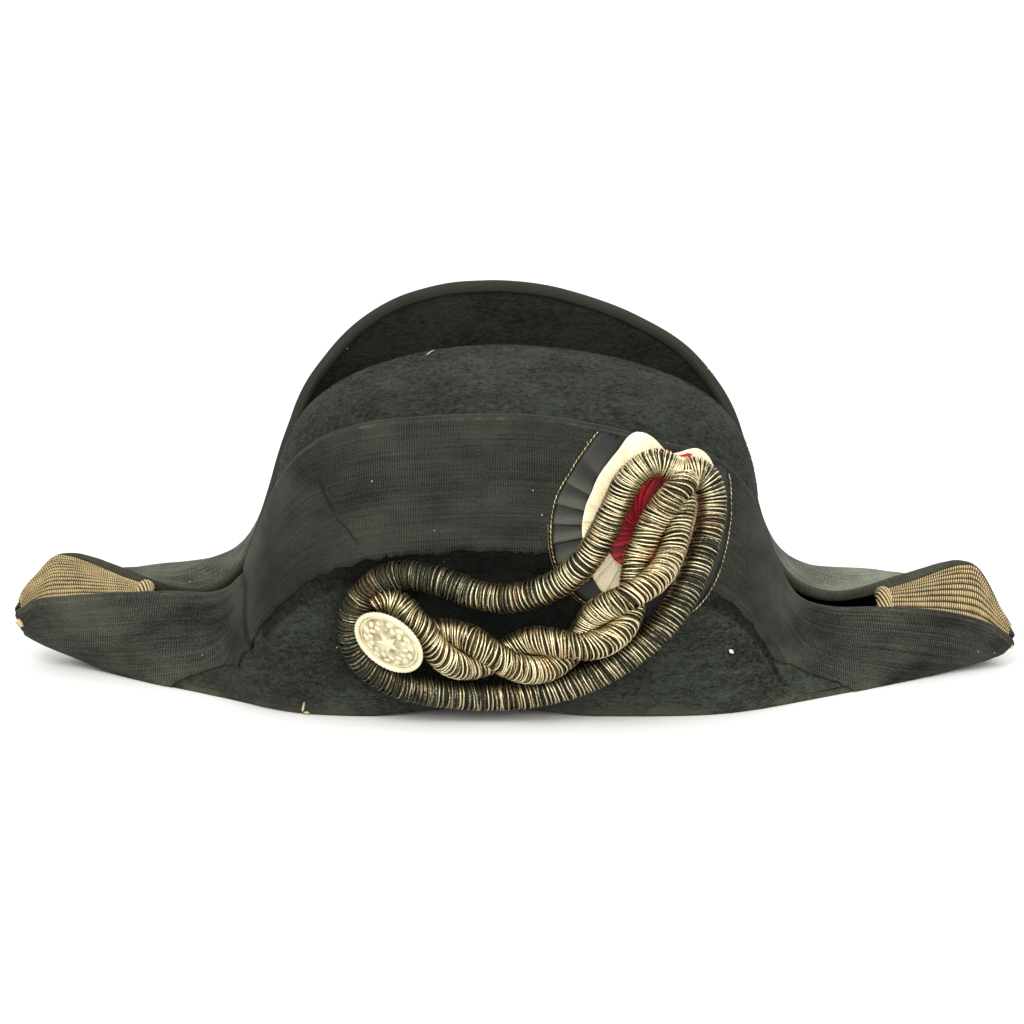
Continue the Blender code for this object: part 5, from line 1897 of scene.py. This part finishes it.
@dataclass
class Button:
    """A domed gilt button with a rope rim, a wreath and a star, on its shank.

    back and stem are the outline behind the rope: shares of radius and depth, and of the
    shank's radius and length.
    """

    face: LeafFace
    radius: float = 0.0165
    rim: float = 0.0010
    depth: float = 0.0034
    dome: float = 0.0010
    place: tuple[float, float] = (-0.0524, 0.0418)
    lift: float = 0.0203
    tilt: float = 41.0
    turn: float = 225.0
    shank_radius: float = 0.0022
    shank_length: float = 0.0045
    around: int = 220
    ropes: int = 54
    back: tuple[tuple[float, float], ...] = (
        (0.90, 0.45), (0.86, 0.30), (0.70, 0.12), (0.45, 0.0), (0.20, 0.0), (0.135, 0.0)
    )
    stem: tuple[tuple[float, float], ...] = ((1.0, 0.05), (1.0, 0.5), (1.0, 0.95), (0.8, 1.0), (0.0, 1.0))

    def plain(self, share: np.ndarray) -> np.ndarray:
        """Height of the face without its device: a dome that falls by the share squared."""
        return self.depth + self.dome * (1.0 - share**2)

    def device(self, reach: np.ndarray, turn: np.ndarray) -> np.ndarray:
        """Height of the raised device: a five-pointed star inside a wreath of leaves.

        The star slopes from its middle to the straight line from a tip to a notch, which at
        an angle t from the tip is at R N sin 36 / (R sin t + N sin(36 - t)). The wreath is
        two rows of leaves, each one less the squares of its shares across and along.

        Args:
            reach: distance from the middle, as a share of the face.
            turn: angle.

        Returns:
            Heights in metres.
        """
        fifth = 0.2 * math.pi
        arm = np.abs((turn % (2 * fifth)) - fifth)
        tip, notch = 0.46, 0.19
        edge = tip * notch * math.sin(fifth) / (tip * np.sin(arm) + notch * np.sin(fifth - arm))
        star = np.clip(1.0 - reach / edge, 0.0, 1.0) ** 0.7
        leaves = 0.0
        for middle, lean in ((0.755, 4.0), (0.58, -4.0)):
            across = np.sin(7 * turn + lean * (reach - middle) + lean) / 0.85
            leaves = leaves + np.sqrt(np.clip(1.0 - ((reach - middle) / 0.095) ** 2 - across**2, 0.0, 1.0))
        gap = smooth_step(0.10, 0.26, np.abs((turn - 0.5 * math.pi + math.pi) % (2 * math.pi) - math.pi))
        ring = np.exp(-(((reach - 0.93) / 0.022) ** 2))
        return MM * (0.50 * star + 0.30 * gap * leaves + 0.20 * ring)

    def build(self, finish: Material) -> None:
        """The button: a profile from the face's middle over the rope to the shank, turned.

        On the rope the circle's radius swells by the cosine of its own angle plus the
        count of strands times the turn.

        Args:
            finish: pale gilt.
        """
        turn = circle(self.around)[None, :]
        inside = self.radius - 2 * self.rim
        share = np.linspace(0.0, 1.0, 66)[:, None]
        face_r = share * inside + 0.0 * turn
        face_h = self.plain(share) + self.device(share + 0.0 * turn, turn) - 0.5 * MM * share**6
        around_rope = np.linspace(math.radians(160.0), math.radians(-60.0), 20)[:, None]
        strand = 1.0 + 0.16 * np.cos(self.ropes * turn + 2.0 * around_rope)
        rope_r = self.radius - self.rim + self.rim * strand * np.cos(around_rope)
        rope_h = self.depth + self.rim * strand * np.sin(around_rope)
        behind = np.array(self.back) * (self.radius, self.depth)
        shank = np.array(self.stem) * (self.shank_radius, -self.shank_length)
        r = np.concatenate([face_r, rope_r, behind[:, :1] + 0.0 * turn, shank[:, :1] + 0.0 * turn])
        h = np.concatenate([face_h, rope_h, behind[:, 1:] + 0.0 * turn, shank[:, 1:] + 0.0 * turn])
        lean, spin = math.radians(self.tilt), math.radians(self.turn)
        normal = Vector((math.sin(lean) * math.cos(spin), -math.cos(lean), math.sin(lean) * math.sin(spin)))
        basis = np.array(normal.to_track_quat("Z", "Y").to_matrix())
        x, y = r * np.cos(turn), r * np.sin(turn)
        place = self.face.stand(*np.array([*self.place, self.lift])[:, None])[0]
        flat = np.clip(r / inside, 0.0, 1.0)
        raised = h - (self.plain(flat) - 0.5 * MM * flat**6)
        tone = np.clip(0.27 + raised / (0.8 * MM), 0.0, 1.0)
        points = np.stack([x, y, h], axis=-1) @ basis.T + place
        sheet = Sheet()
        sheet.add(points, grid_faces(len(r), self.around, False, True), np.stack([x, y], axis=-1), tone)
        sheet.build("gilt_button", finish, "gilt", "button", weld=True)


@dataclass
class Tassel:
    """A flat tassel of wound cords laid side by side in a point, with a wound end roll.

    lean is how far a stitch slants across its cord, in stitches, and over how far the
    tassel laps over the far rim at its tip.
    """

    brim: Brim
    node: str
    side: Side
    cords: int
    stitch: float
    lean: float
    over: float
    inset: float = 0.0035
    length: float = 0.0565
    clear: float = 0.0011
    edge: float = 0.0016
    thick: float = 0.0060
    arch: float = 0.0032
    bump: float = 0.00055
    ripple: float = 0.00045
    rows: int = 300
    columns_a_cord: int = 6
    roll_radius: float = 0.0037
    roll_ripple: float = 0.0003
    roll_pitch: float = 0.0060
    roll_threads: float = 12.0
    roll_sides: int = 60

    def edges(self, places: np.ndarray) -> tuple[np.ndarray, np.ndarray]:
        """Points just inside the near rim and the far rim, at places along the hat.

        Args:
            places: x of each point.

        Returns:
            The near points and the far ones.
        """
        brim = self.brim
        clear = brim.outer[:, -1] - brim.normal[:, -1] * (brim.felt + self.clear)
        near = brim.places < len(NEAR_SECTIONS) + 1
        found = []
        for leaf in (clear[near], clear[~near]):
            x, y, z = leaf[np.argsort(leaf[:, 0])].T
            found.append(np.stack([places, np.interp(places, x, y), np.interp(places, x, z)], axis=1))
        return found[0], found[1]

    def top(self, share: np.ndarray, across: np.ndarray) -> np.ndarray:
        """The top before its cords: from rim to rim, arched by a sine across.

        Near the tip the far edge is drawn up and over the far rim.

        Args:
            share: 0 at the tip to 1 at the inner end, shape (n,).
            across: 0 at the near rim to 1 at the far rim, shape (m,).

        Returns:
            Points of shape (n, m, 3).
        """
        near, far = self.edges(self.side.value * (self.brim.half_length - self.inset - self.length * share))
        lap = self.over * smooth_step(0.42, 0.02, share)
        far = far + lap[:, None] * np.array([0.35 * self.side.value, 1.0, 0.60])
        top = near[:, None] + (far - near)[:, None] * across[None, :, None]
        top[..., 2] += self.arch * np.sin(math.pi * across)[None, :] * (0.6 + 0.4 * share[:, None])
        return top

    def build(self, finish: Material) -> None:
        """The tassel and its roll.

        Over each cord the top rises as a half circle across it, and the winding's stitches
        ripple it as a cosine along the cord that leans with the place across.

        Args:
            finish: dull gold thread.
        """
        across = np.linspace(0.0, 1.0, self.cords * self.columns_a_cord + 1)
        top = self.top(np.linspace(0.0, 1.0, self.rows), across)
        number = np.floor(np.minimum(self.cords * across, self.cords - 1e-6))[None, :]
        part = self.cords * across[None, :] - number
        hump = np.sqrt(np.clip(1.0 - (2.0 * part - 1.0) ** 2, 0.0, 1.0))
        run = run_lengths(top[:, len(across) // 2])[:, None]
        phase = run / self.stitch + self.lean * (part - 0.5) + 0.37 * number
        phase = phase + 0.35 * lattice_noise(run / 0.006 + 30, number * 1.7 + 10, 41)
        stitch = 0.5 + 0.5 * np.cos(2.0 * math.pi * phase)
        uneven = lattice_noise(run / 0.011 + 60, number * 0.9 + 4, 43)
        normal = unit(np.cross(np.gradient(top, axis=0), np.gradient(top, axis=1)))
        normal *= np.sign(normal[..., 2:3])
        tall = self.bump * (hump * (1.0 + 0.25 * uneven)) + self.ripple * stitch * hump
        lower = top.copy()
        lower[..., 2] -= self.edge + (self.thick - self.edge) * np.sin(math.pi * across)[None, :] + 0.0 * run
        lower[:, 0] += (lower[:, 1] - lower[:, 0]) * 0.8
        lower[:, -1] += (lower[:, -2] - lower[:, -1]) * 0.8
        # Painted shade: near black between the cords and in each stitch, lighter on the crests as painted
        # highlight; the underside keeps under a third of it
        tone = np.clip(0.02 + 0.98 * hump ** 1.6 * (0.15 + 0.85 * stitch), 0.0, 1.0)
        uv = np.stack([run + 0.0 * across[None, :], across[None, :] * 0.03 + 0.0 * run], axis=-1)
        sheet = Sheet()
        sheet.shell(top + normal * tall[..., None], lower, uv, False, np.stack([tone, tone * 0.3]))
        sheet.build(self.node + "_cords", finish, "tassel_gold", self.node)
        self.build_roll(finish)

    def build_roll(self, finish: Material) -> None:
        """The wound roll across the inner end: a tube along the top's last row.

        Its radius ripples as a cosine of the length over the pitch plus twelve times the
        angle round it, so twelve threads wind slantwise and meet on its rounded ends.

        Args:
            finish: dull gold thread.
        """
        line = self.top(np.array([0.97, 1.0]), np.linspace(-0.02, 1.02, 40))[-1]
        line[:, 2] -= 0.25 * self.roll_radius
        line = even_line(line, 0.00024, cyclic=False)
        travelled = run_lengths(line)
        turn = circle(self.roll_sides)[None, :]
        wrap = np.cos(2.0 * math.pi * travelled[:, None] / self.roll_pitch + self.roll_threads * turn)
        closed = closing(travelled, travelled[-1], self.roll_radius)[:, None]
        radii = (self.roll_radius + self.roll_ripple * (wrap - 1.0)) * closed
        ahead = unit(np.gradient(line, axis=0))
        out = unit(UP - ahead * ahead[:, 2:])
        side = np.cross(ahead, out)
        ring = out[:, None] * np.cos(turn)[..., None] + side[:, None] * np.sin(turn)[..., None]
        points = line[:, None] + radii[..., None] * ring
        faces = grid_faces(len(line), self.roll_sides, False, True)
        sheet = Sheet()
        # Painted shade in the troughs of the winding, lighter on its crests
        sheet.add(points, faces, None, np.clip(0.5 + 0.5 * wrap, 0.0, 1.0))
        sheet.build(self.node + "_roll", finish, "tassel_gold", weld=True)


# Finishes of this hat

# Plush and silk where the hat's underside rubs on what it stands on
RUBBED = "#625b44"


@dataclass(frozen=True)
class Plush(Finish):
    """Silk plush: short pile laid level, so its sheen runs in long soft streaks, partly painted into its
    colour.
    """

    dark: str = "#050604"
    lit: str = "#848d7e"

    def inputs(self, add: Adder, here: Output, cloth: Output) -> dict[str, object]:
        """Tone is how faded it is, with painted shade behind the bullion, and nap, painted sheen streaks,
        lint and rubbed places play over it.

        Args:
            add: adds a node to the tree.
            here: places in metres.
            cloth: places along u and v, in metres; not used.

        Returns:
            Each input of the shader by its name.
        """
        tone = (add("Attribute", TONE), "Fac")
        # Painted sheen: long level streaks of lighter and darker colour, partly the pile's own unevenness
        streak = grain(add, here, (1000 / 26, 1000 / 26, 300), 4.0, 0.6)
        cloud = grain(add, here, 34, 4.0, 0.55)
        # Tufts 3 mm long and 1 mm high, and the hairs inside them
        tuft = grain(add, here, (330, 330, 900), 4.0, 0.7)
        hair = grain(add, here, (1100, 1100, 3000), 2.0, 0.6)
        amount = swing(add, tone, (streak, 1.2), (cloud, 1.8), (tuft, 3.2), (hair, 2.2))
        colour = add("Mix", BLEND, amount, linear(self.dark), linear(self.lit))
        # Rubbed where it stands on the table
        z = (add("SeparateXYZ", None, here), "Z")
        low = add("MapRange", SMOOTH, z, 0.0050, 0.0005, 0.0, 0.40)
        rub = add("Math", TIMES, low, add("MapRange", SMOOTH, cloud, 0.45, 0.60, 0.0, 1.0))
        colour = lint(add, here, add("Mix", BLEND, rub, colour, linear(RUBBED)))
        height = add("Math", TIMES_PLUS, hair, 0.6, tuft)
        bump = add("Bump", None, Strength=0.7, Distance=0.0006, Height=height)
        return {
            "Base_Color": colour, "Normal": bump, "Roughness": 0.92, "Specular_IOR_Level": 0.10,
            "Sheen_Weight": 0.05, "Sheen_Roughness": 0.5, "Sheen_Tint": linear("#a3a896"),
        }


@dataclass(frozen=True)
class RibbedSilk(Finish):
    """Watered ribbed silk ribbon, faded to green-black, its bound edge rubbed to brown."""

    dark: str = "#060705"
    lit: str = "#8b8e7b"
    edge: str = "#31302a"
    rib_mm: float = 1.05
    bound_mm: float = 0.2
    bound: float = 0.25
    fray: str = "#7d7355"
    worn: float = 0.22
    seam_shades: tuple[Crease, ...] = ()

    def inputs(self, add: Adder, here: Output, cloth: Output) -> dict[str, object]:
        """Ribs across it, long level streaks, painted shade along its seams, a bound edge and rubbed places.

        Args:
            add: adds a node to the tree.
            here: places in metres.
            cloth: places along u and v, in metres.

        Returns:
            Each input of the shader by its name.
        """
        tone = (add("Attribute", TONE), "Fac")
        uv = add("SeparateXYZ", None, cloth)
        # The silk's ribs waver by up to half a millimetre
        run = add("Math", TIMES_PLUS, grain(add, cloth, (60, 140, 1)), 0.0009, (uv, "X"))
        wave = add("Math", SINE, add("Math", TIMES, run, 2000 * math.pi / self.rib_mm))
        watered = add("MapRange", SMOOTH, grain(add, cloth, (22, 40, 1), 3.0), 0.36, 0.62, 0.1, 1.0)
        rib = add("Math", TIMES_PLUS, add("Math", TIMES, wave, watered), 0.5, 0.5)
        streak = grain(add, cloth, (14, 1000, 1), 4.0, 0.65)
        cloud = grain(add, here, (28, 28, 45), 4.0, 0.6)
        weave = grain(add, cloth, (1500, 1100, 1), 2.0)
        amount = swing(add, tone, (rib, 1.45), (streak, 3.8), (cloud, 4.0), (weave, 2.9))
        colour = add("Mix", BLEND, amount, linear(self.dark), linear(self.lit))
        # Painted shade: near-black lines along the mitre and the lesser pleats
        for seam in self.seam_shades:
            colour = add("Mix", BLEND, pressed(add, here, seam), colour, linear("#0c0d0a"))
        colour = lint(add, here, colour)
        # The bound edge starts where v falls under bound_mm from the rim, a little ragged
        ragged = sway(add, (uv, "Y"), (cloud, 0.0012))
        edge = self.bound_mm * MM
        bound = add("MapRange", SMOOTH, ragged, edge + 0.0002, edge - 0.0002, 0.0, self.bound)
        colour = add("Mix", BLEND, bound, colour, linear(self.edge))
        # Threads rubbed bare: along the rim and under the hat
        bare = add("MapRange", SMOOTH, grain(add, here, 160, 3.0), 0.46, 0.70, 0.1, 1.0)
        from_rim = add("Math", WITHOUT_SIGN, (uv, "Y"))
        line = add("MapRange", SMOOTH, from_rim, 0.0004, 0.0001, 0.0, self.worn)
        colour = add("Mix", BLEND, add("Math", TIMES, line, bare), colour, linear(self.fray))
        low = add("MapRange", SMOOTH, (add("SeparateXYZ", None, here), "Z"), 0.0050, 0.0010, 0.0, 0.22)
        rest = add("Math", TIMES, low, add("MapRange", SMOOTH, cloud, 0.46, 0.62, 0.0, 1.0))
        colour = add("Mix", BLEND, rest, colour, linear(RUBBED))
        height = add("Math", PLUS, add("Math", TIMES, rib, 0.5), weave)
        bump = add("Bump", None, Strength=0.45, Distance=0.00025, Height=height)
        return {
            "Base_Color": colour, "Normal": bump, "Specular_IOR_Level": 0.18,
            "Roughness": add("MapRange", SMOOTH, streak, 0.3, 0.7, 0.60, 0.80),
            "Sheen_Weight": 0.02, "Sheen_Roughness": 0.4, "Sheen_Tint": linear("#9c9f90"),
        }


@dataclass(frozen=True)
class Plain(Finish):
    """Bare linen or lint: one rough colour, clouded."""

    colour: str

    def inputs(self, add: Adder, here: Output, cloth: Output) -> dict[str, object]:
        """The cloth, a little darker in its clouds.

        Args:
            add: adds a node to the tree.
            here: places in metres.
            cloth: places along u and v, in metres; not used.

        Returns:
            Each input of the shader by its name.
        """
        cloud = add("MapRange", SMOOTH, grain(add, here, 700, 3.0), 0.40, 0.65, 0.0, 0.6)
        colour = add("Mix", BLEND, cloud, linear(self.colour), linear("#8a7a55"))
        return {"Base_Color": colour, "Roughness": 0.9}


@dataclass(frozen=True)
class BandSilk(Finish):
    """Fine ribbed silk of the cockade: ribs run out from its middle, and its folds gleam on their crests and
    darken in their hollows, both painted by tone.
    """

    dark: str
    lit: str
    rib_mm: float
    rough: float
    shine: float
    rib: float = 0.3

    def inputs(self, add: Adder, here: Output, cloth: Output) -> dict[str, object]:
        """Ribs by u, cloudy tone, and hollows of the folds darker by tone, as painted shade.

        Args:
            add: adds a node to the tree.
            here: places in metres.
            cloth: places along u and v, in metres.

        Returns:
            Each input of the shader by its name.
        """
        tone = (add("Attribute", TONE), "Fac")
        run = (add("SeparateXYZ", None, cloth), "X")
        wave = add("Math", SINE, add("Math", TIMES, run, 2000 * math.pi / self.rib_mm))
        rib = add("Math", TIMES_PLUS, wave, 0.5, 0.5)
        cloud = grain(add, here, 110, 3.0)
        line = grain(add, cloth, (1400, 30, 1), 3.0)
        amount = swing(add, tone, (rib, self.rib), (line, 1.2), (cloud, 0.8))
        return {
            "Base_Color": add("Mix", BLEND, amount, linear(self.dark), linear(self.lit)),
            "Normal": add("Bump", None, Strength=0.35, Distance=0.0002, Height=rib),
            "Roughness": self.rough, "Specular_IOR_Level": 0.35,
            "Sheen_Weight": self.shine, "Sheen_Roughness": 0.35,
        }


@dataclass(frozen=True)
class GiltWire(Finish):
    """Silver-gilt wire, drawn and coiled: bright on its crests, grey-green below, where tarnish mixes with
    painted shade from the duller wires' tone.
    """

    bright: str
    tarnish: str
    rust: str
    low: float
    high: float
    rough: float = 0.29

    def inputs(self, add: Adder, here: Output, cloth: Output) -> dict[str, object]:
        """Tone mixes tarnish to gilt, with rusty patches and small flecks.

        Args:
            add: adds a node to the tree.
            here: places in metres.
            cloth: places along u and v, in metres; not used.

        Returns:
            Each input of the shader by its name.
        """
        tone = (add("Attribute", TONE), "Fac")
        fleck = grain(add, here, 1300)
        patch = grain(add, here, 75, 3.0)
        mixed = sway(add, tone, (fleck, 0.8), (patch, 0.7))
        gilt = add("MapRange", SMOOTH, mixed, self.low, self.high, 0.0, 1.0)
        colour = add("Mix", BLEND, gilt, linear(self.tarnish), linear(self.bright))
        rusty = add("MapRange", SMOOTH, patch, 0.52, 0.66, 0.0, 0.7)
        rusty = add("Math", TIMES, rusty, add("MapRange", SMOOTH, fleck, 0.45, 0.62, 0.0, 1.0))
        return {
            "Base_Color": add("Mix", BLEND, rusty, colour, linear(self.rust)), "Metallic": 1.0,
            "Roughness": add("MapRange", SMOOTH, mixed, self.low, self.high, self.rough + 0.22, self.rough),
        }


@dataclass(frozen=True)
class CoreThread(Finish):
    """Waxed dark thread under the wires, dull grey-green to rusty brown, kept near black as painted shade in
    the gaps between the turns.
    """

    name: str = "core_thread_gap_shade"

    def inputs(self, add: Adder, here: Output, cloth: Output) -> dict[str, object]:
        """The thread with cloudy tone and a rough face.

        Args:
            add: adds a node to the tree.
            here: places in metres.
            cloth: places along u and v, in metres; not used.

        Returns:
            Each input of the shader by its name.
        """
        cloud = add("MapRange", SMOOTH, grain(add, here, 260, 3.0), 0.35, 0.65, 0.0, 1.0)
        # Near-black core: painted shade seen between the wires
        colour = add("Mix", BLEND, cloud, linear("#0f0e07"), linear("#332e1c"))
        return {"Base_Color": colour, "Roughness": 0.85}


@dataclass(frozen=True)
class PaleGilt(Finish):
    """Stamped gilt brass, rubbed pale on its high places and brown in its hollows."""

    name: str = "stamped_pale_gilt"

    def inputs(self, add: Adder, here: Output, cloth: Output) -> dict[str, object]:
        """Tone and stains mix the rubbed and the brown metal.

        Args:
            add: adds a node to the tree.
            here: places in metres.
            cloth: places along u and v, in metres; not used.

        Returns:
            Each input of the shader by its name.
        """
        tone = (add("Attribute", TONE), "Fac")
        stain = grain(add, here, 240, 4.0, 0.6)
        speck = grain(add, here, 1800)
        rubbed = add("MapRange", SMOOTH, sway(add, tone, (stain, 0.6)), 0.08, 0.48, 0.0, 1.0)
        colour = add("Mix", BLEND, rubbed, linear("#8c7b4c"), linear("#f2e9c8"))
        spots = add("MapRange", SMOOTH, speck, 0.62, 0.72, 0.0, 0.35)
        return {
            "Base_Color": add("Mix", BLEND, spots, colour, linear("#8a7748")),
            "Normal": add("Bump", None, Strength=0.15, Distance=0.0001, Height=speck),
            "Metallic": 0.7, "Roughness": 0.5,
        }


@dataclass(frozen=True)
class GoldThread(Finish):
    """Dull gold thread of the tassels: tan on the crests of its winding and brown between, as painted
    highlight and painted shade.
    """

    name: str = "dull_gold_thread"

    def inputs(self, add: Adder, here: Output, cloth: Output) -> dict[str, object]:
        """Tone, which holds the painted shade and highlights of the winding, mixes brown to tan, with cloudy
        dirt and a fine twist.

        Args:
            add: adds a node to the tree.
            here: places in metres.
            cloth: places along u and v, in metres; not used.

        Returns:
            Each input of the shader by its name.
        """
        tone = (add("Attribute", TONE), "Fac")
        dirt = grain(add, here, 130, 4.0, 0.6)
        fine = grain(add, here, 2600)
        crest = add("MapRange", SMOOTH, sway(add, tone, (fine, 0.7), (dirt, 0.5)), 0.15, 0.95, 0.0, 1.0)
        return {
            "Base_Color": add("Mix", BLEND, crest, linear("#261b0a"), linear("#d9be84")),
            "Normal": add("Bump", None, Strength=0.3, Distance=0.0001, Height=fine),
            "Metallic": 0.2, "Roughness": 0.6,
        }


@dataclass(frozen=True)
class Paper(Finish):
    """The matt white floor of the studio."""

    name: str = "matt_white_floor"

    def inputs(self, add: Adder, here: Output, cloth: Output) -> dict[str, object]:
        """One rough white."""
        return {"Base_Color": linear("#f7f7f5"), "Roughness": 0.9, "Specular_IOR_Level": 0.1}


class Lamp(NamedTuple):
    """A square area lamp: where it stands, its side in metres and its power in watts."""

    name: str
    place: tuple[float, float, float]
    size: float
    power: float


LAMPS = (
    Lamp("key_lamp", (-0.9, -1.5, 1.9), 1.2, 26.0),
    Lamp("fill_lamp", (1.5, -1.2, 1.2), 1.4, 10.0),
    Lamp("back_lamp", (0.2, 1.6, 1.8), 1.4, 10.0),
    Lamp("front_lamp", (0.1, -2.0, 0.75), 0.9, 12.0),
)


@dataclass
class Studio:
    """A plain pale floor, a bright even surround and soft lamps, seen as in the photo."""

    elevation: float = 13.0
    distance: float = 2.2
    lens: float = 172.25
    sensor: float = 36.0
    aim: tuple[float, float, float] = (-0.00131, 0.01972, 0.0695)
    lit: tuple[float, float, float] = (0.0, 0.0, 0.06)
    floor_half: float = 4.0
    surround: float = 0.95

    def build(self) -> None:
        """Make the camera, floor, surround and lamps."""
        lean = math.radians(self.elevation)
        camera = bpy.data.objects.new("camera", bpy.data.cameras.new("camera"))
        camera.data.lens = self.lens
        camera.data.sensor_width = self.sensor
        camera.data.clip_end = 50.0
        camera.location = Vector(self.aim) + self.distance * Vector((0.0, -math.cos(lean), math.sin(lean)))
        camera.rotation_euler = (math.radians(90.0 - self.elevation), 0.0, 0.0)
        bpy.context.collection.objects.link(camera)
        bpy.context.scene.camera = camera

        across = np.linspace(-self.floor_half, self.floor_half, 9)
        x, y = np.meshgrid(across, across, indexing="ij")
        sheet = Sheet()
        sheet.add(np.stack([x, y, 0.0 * x - 0.0001], axis=-1) - TO_FRAME, grid_faces(9, 9, False, False))
        sheet.build("floor", Paper().make())

        world = bpy.data.worlds.new("surround")
        bpy.context.scene.world = world
        world.use_nodes = True
        world.node_tree.nodes["Background"].inputs["Color"].default_value = (1.0, 1.0, 0.99, 1.0)
        world.node_tree.nodes["Background"].inputs["Strength"].default_value = self.surround
        for lamp in LAMPS:
            light = bpy.data.lights.new(lamp.name, "AREA")
            light.size = lamp.size
            light.energy = lamp.power
            item = bpy.data.objects.new(lamp.name, light)
            item.location = lamp.place
            item.rotation_euler = (Vector(self.lit) - Vector(lamp.place)).to_track_quat("-Z", "Y").to_euler()
            bpy.context.collection.objects.link(item)
        bpy.context.scene.view_settings.view_transform = "Standard"


def main() -> None:
    """Build the hat piece by piece."""
    logging.basicConfig(level=logging.INFO, format="%(name)s: %(message)s")
    Studio().build()
    body_plush = Plush("short_black_plush").make()
    dome_plush = Plush("brushed_black_plush").make()
    silk = RibbedSilk("faded_ribbed_silk", seam_shades=SEAM_SHADE_LINES).make()
    far_silk = RibbedSilk("far_ribbed_silk", edge="#2b2b22", bound_mm=0.6, bound=0.8, worn=0.2).make()
    wire = GiltWire("tarnished_gilt_wire", "#efe2b8", "#48483b", "#a06a34", 0.22, 0.86).make()
    bright_wire = GiltWire("bright_gilt_wire", "#f6e8be", "#5e5236", "#a8763c", 0.20, 0.85).make()
    brown_wire = GiltWire("brown_gilt_wire", "#86754a", "#3f3622", "#6b4524", 0.2, 0.9).make()
    core = CoreThread().make()
    black = BandSilk("cockade_black_silk", "#0a0b09", "#787b69", 0.95, 0.50, 0.05, rib=1.3).make()
    cream = BandSilk("cockade_cream_silk", "#b48f4c", "#fff3d2", 1.0, 0.60, 0.0, rib=0.12).make()
    red = BandSilk("cockade_red_silk", "#42020a", "#e31a30", 1.0, 0.40, 0.05).make()
    thread = GoldThread().make()

    brim = Brim()
    brim.build(body_plush)
    crown = Crown(brim)
    crown.build(dome_plush)
    dome_nap = Nap("crown_nap", 11500, 0.0034, 91, 0.135, (0.9, 0.0, -0.45))
    dome_nap.build(crown.outer, crown.normal, crown.shown(), dome_plush)
    LeafPile(brim).build(body_plush)
    split = len(NEAR_SECTIONS) + 1
    Ribbon(brim, "near_ribbon_silk", "near_ribbon", 0.25, split - 0.25, wrap=0.0014).build(silk)
    Ribbon(brim, "far_ribbon_silk", "far_ribbon", split + 0.25, 2 * split + 4.8, far=True).build(far_silk)
    Chips("worn_chips", WORN_CHIPS).build(Plain("bare_lining", "#cdb98c").make())
    Chips("tip_roll", TIP_ROLL).build(Plain("dark_bound_cloth", "#2b2c24").make())
    Chips("stray_flecks", STRAY_FLECKS).build(Plain("stray_lint", "#e9e7dc").make())

    face = LeafFace(brim)
    PleatedBand(
        face, "cockade_black_band", "cockade_black", 0.0130, 0.0012, PIPING_EDGE, BLACK_FOLDS,
        tone=0.29, shade=0.08, inset=0.0009, clipped=True, inner_height=1.3, outer_height=0.5,
    ).build(black)
    PleatedBand(
        face, "cockade_cream_band", "cockade_white", 0.0090, 0.0033, CREAM_EDGE, CREAM_FOLDS,
        tone=1.0, shade=0.80,
    ).build(cream)
    PleatedBand(
        face, "cockade_red_band", "cockade_red", 0.0015, 0.0050, RED_EDGE, RED_FOLDS,
        tone=0.85, shade=0.15, ruffle=0.04, swirl=0.7,
    ).build(red)
    Piping(face).build(("piping_gilt_ply", "piping_brown_ply"), bright_wire, brown_wire)
    second = Piping(face, start=-182.0, end=-112.0, outset=0.0012, ply=0.00020, reach=0.00013, lift=0.0015)
    second.build(("outer_piping_ply", "outer_piping_dark_ply"), brown_wire, brown_wire)
    Bullion(face).build(wire, bright_wire, core)
    Button(face).build(PaleGilt().make())
    Tassel(brim, "left_tassel", Side.LEFT, 13, 0.00100, 0.9, 0.0056).build(thread)
    Tassel(brim, "right_tassel", Side.RIGHT, 9, 0.00105, 0.3, 0.0052).build(thread)


if __name__ == "__main__":
    main()
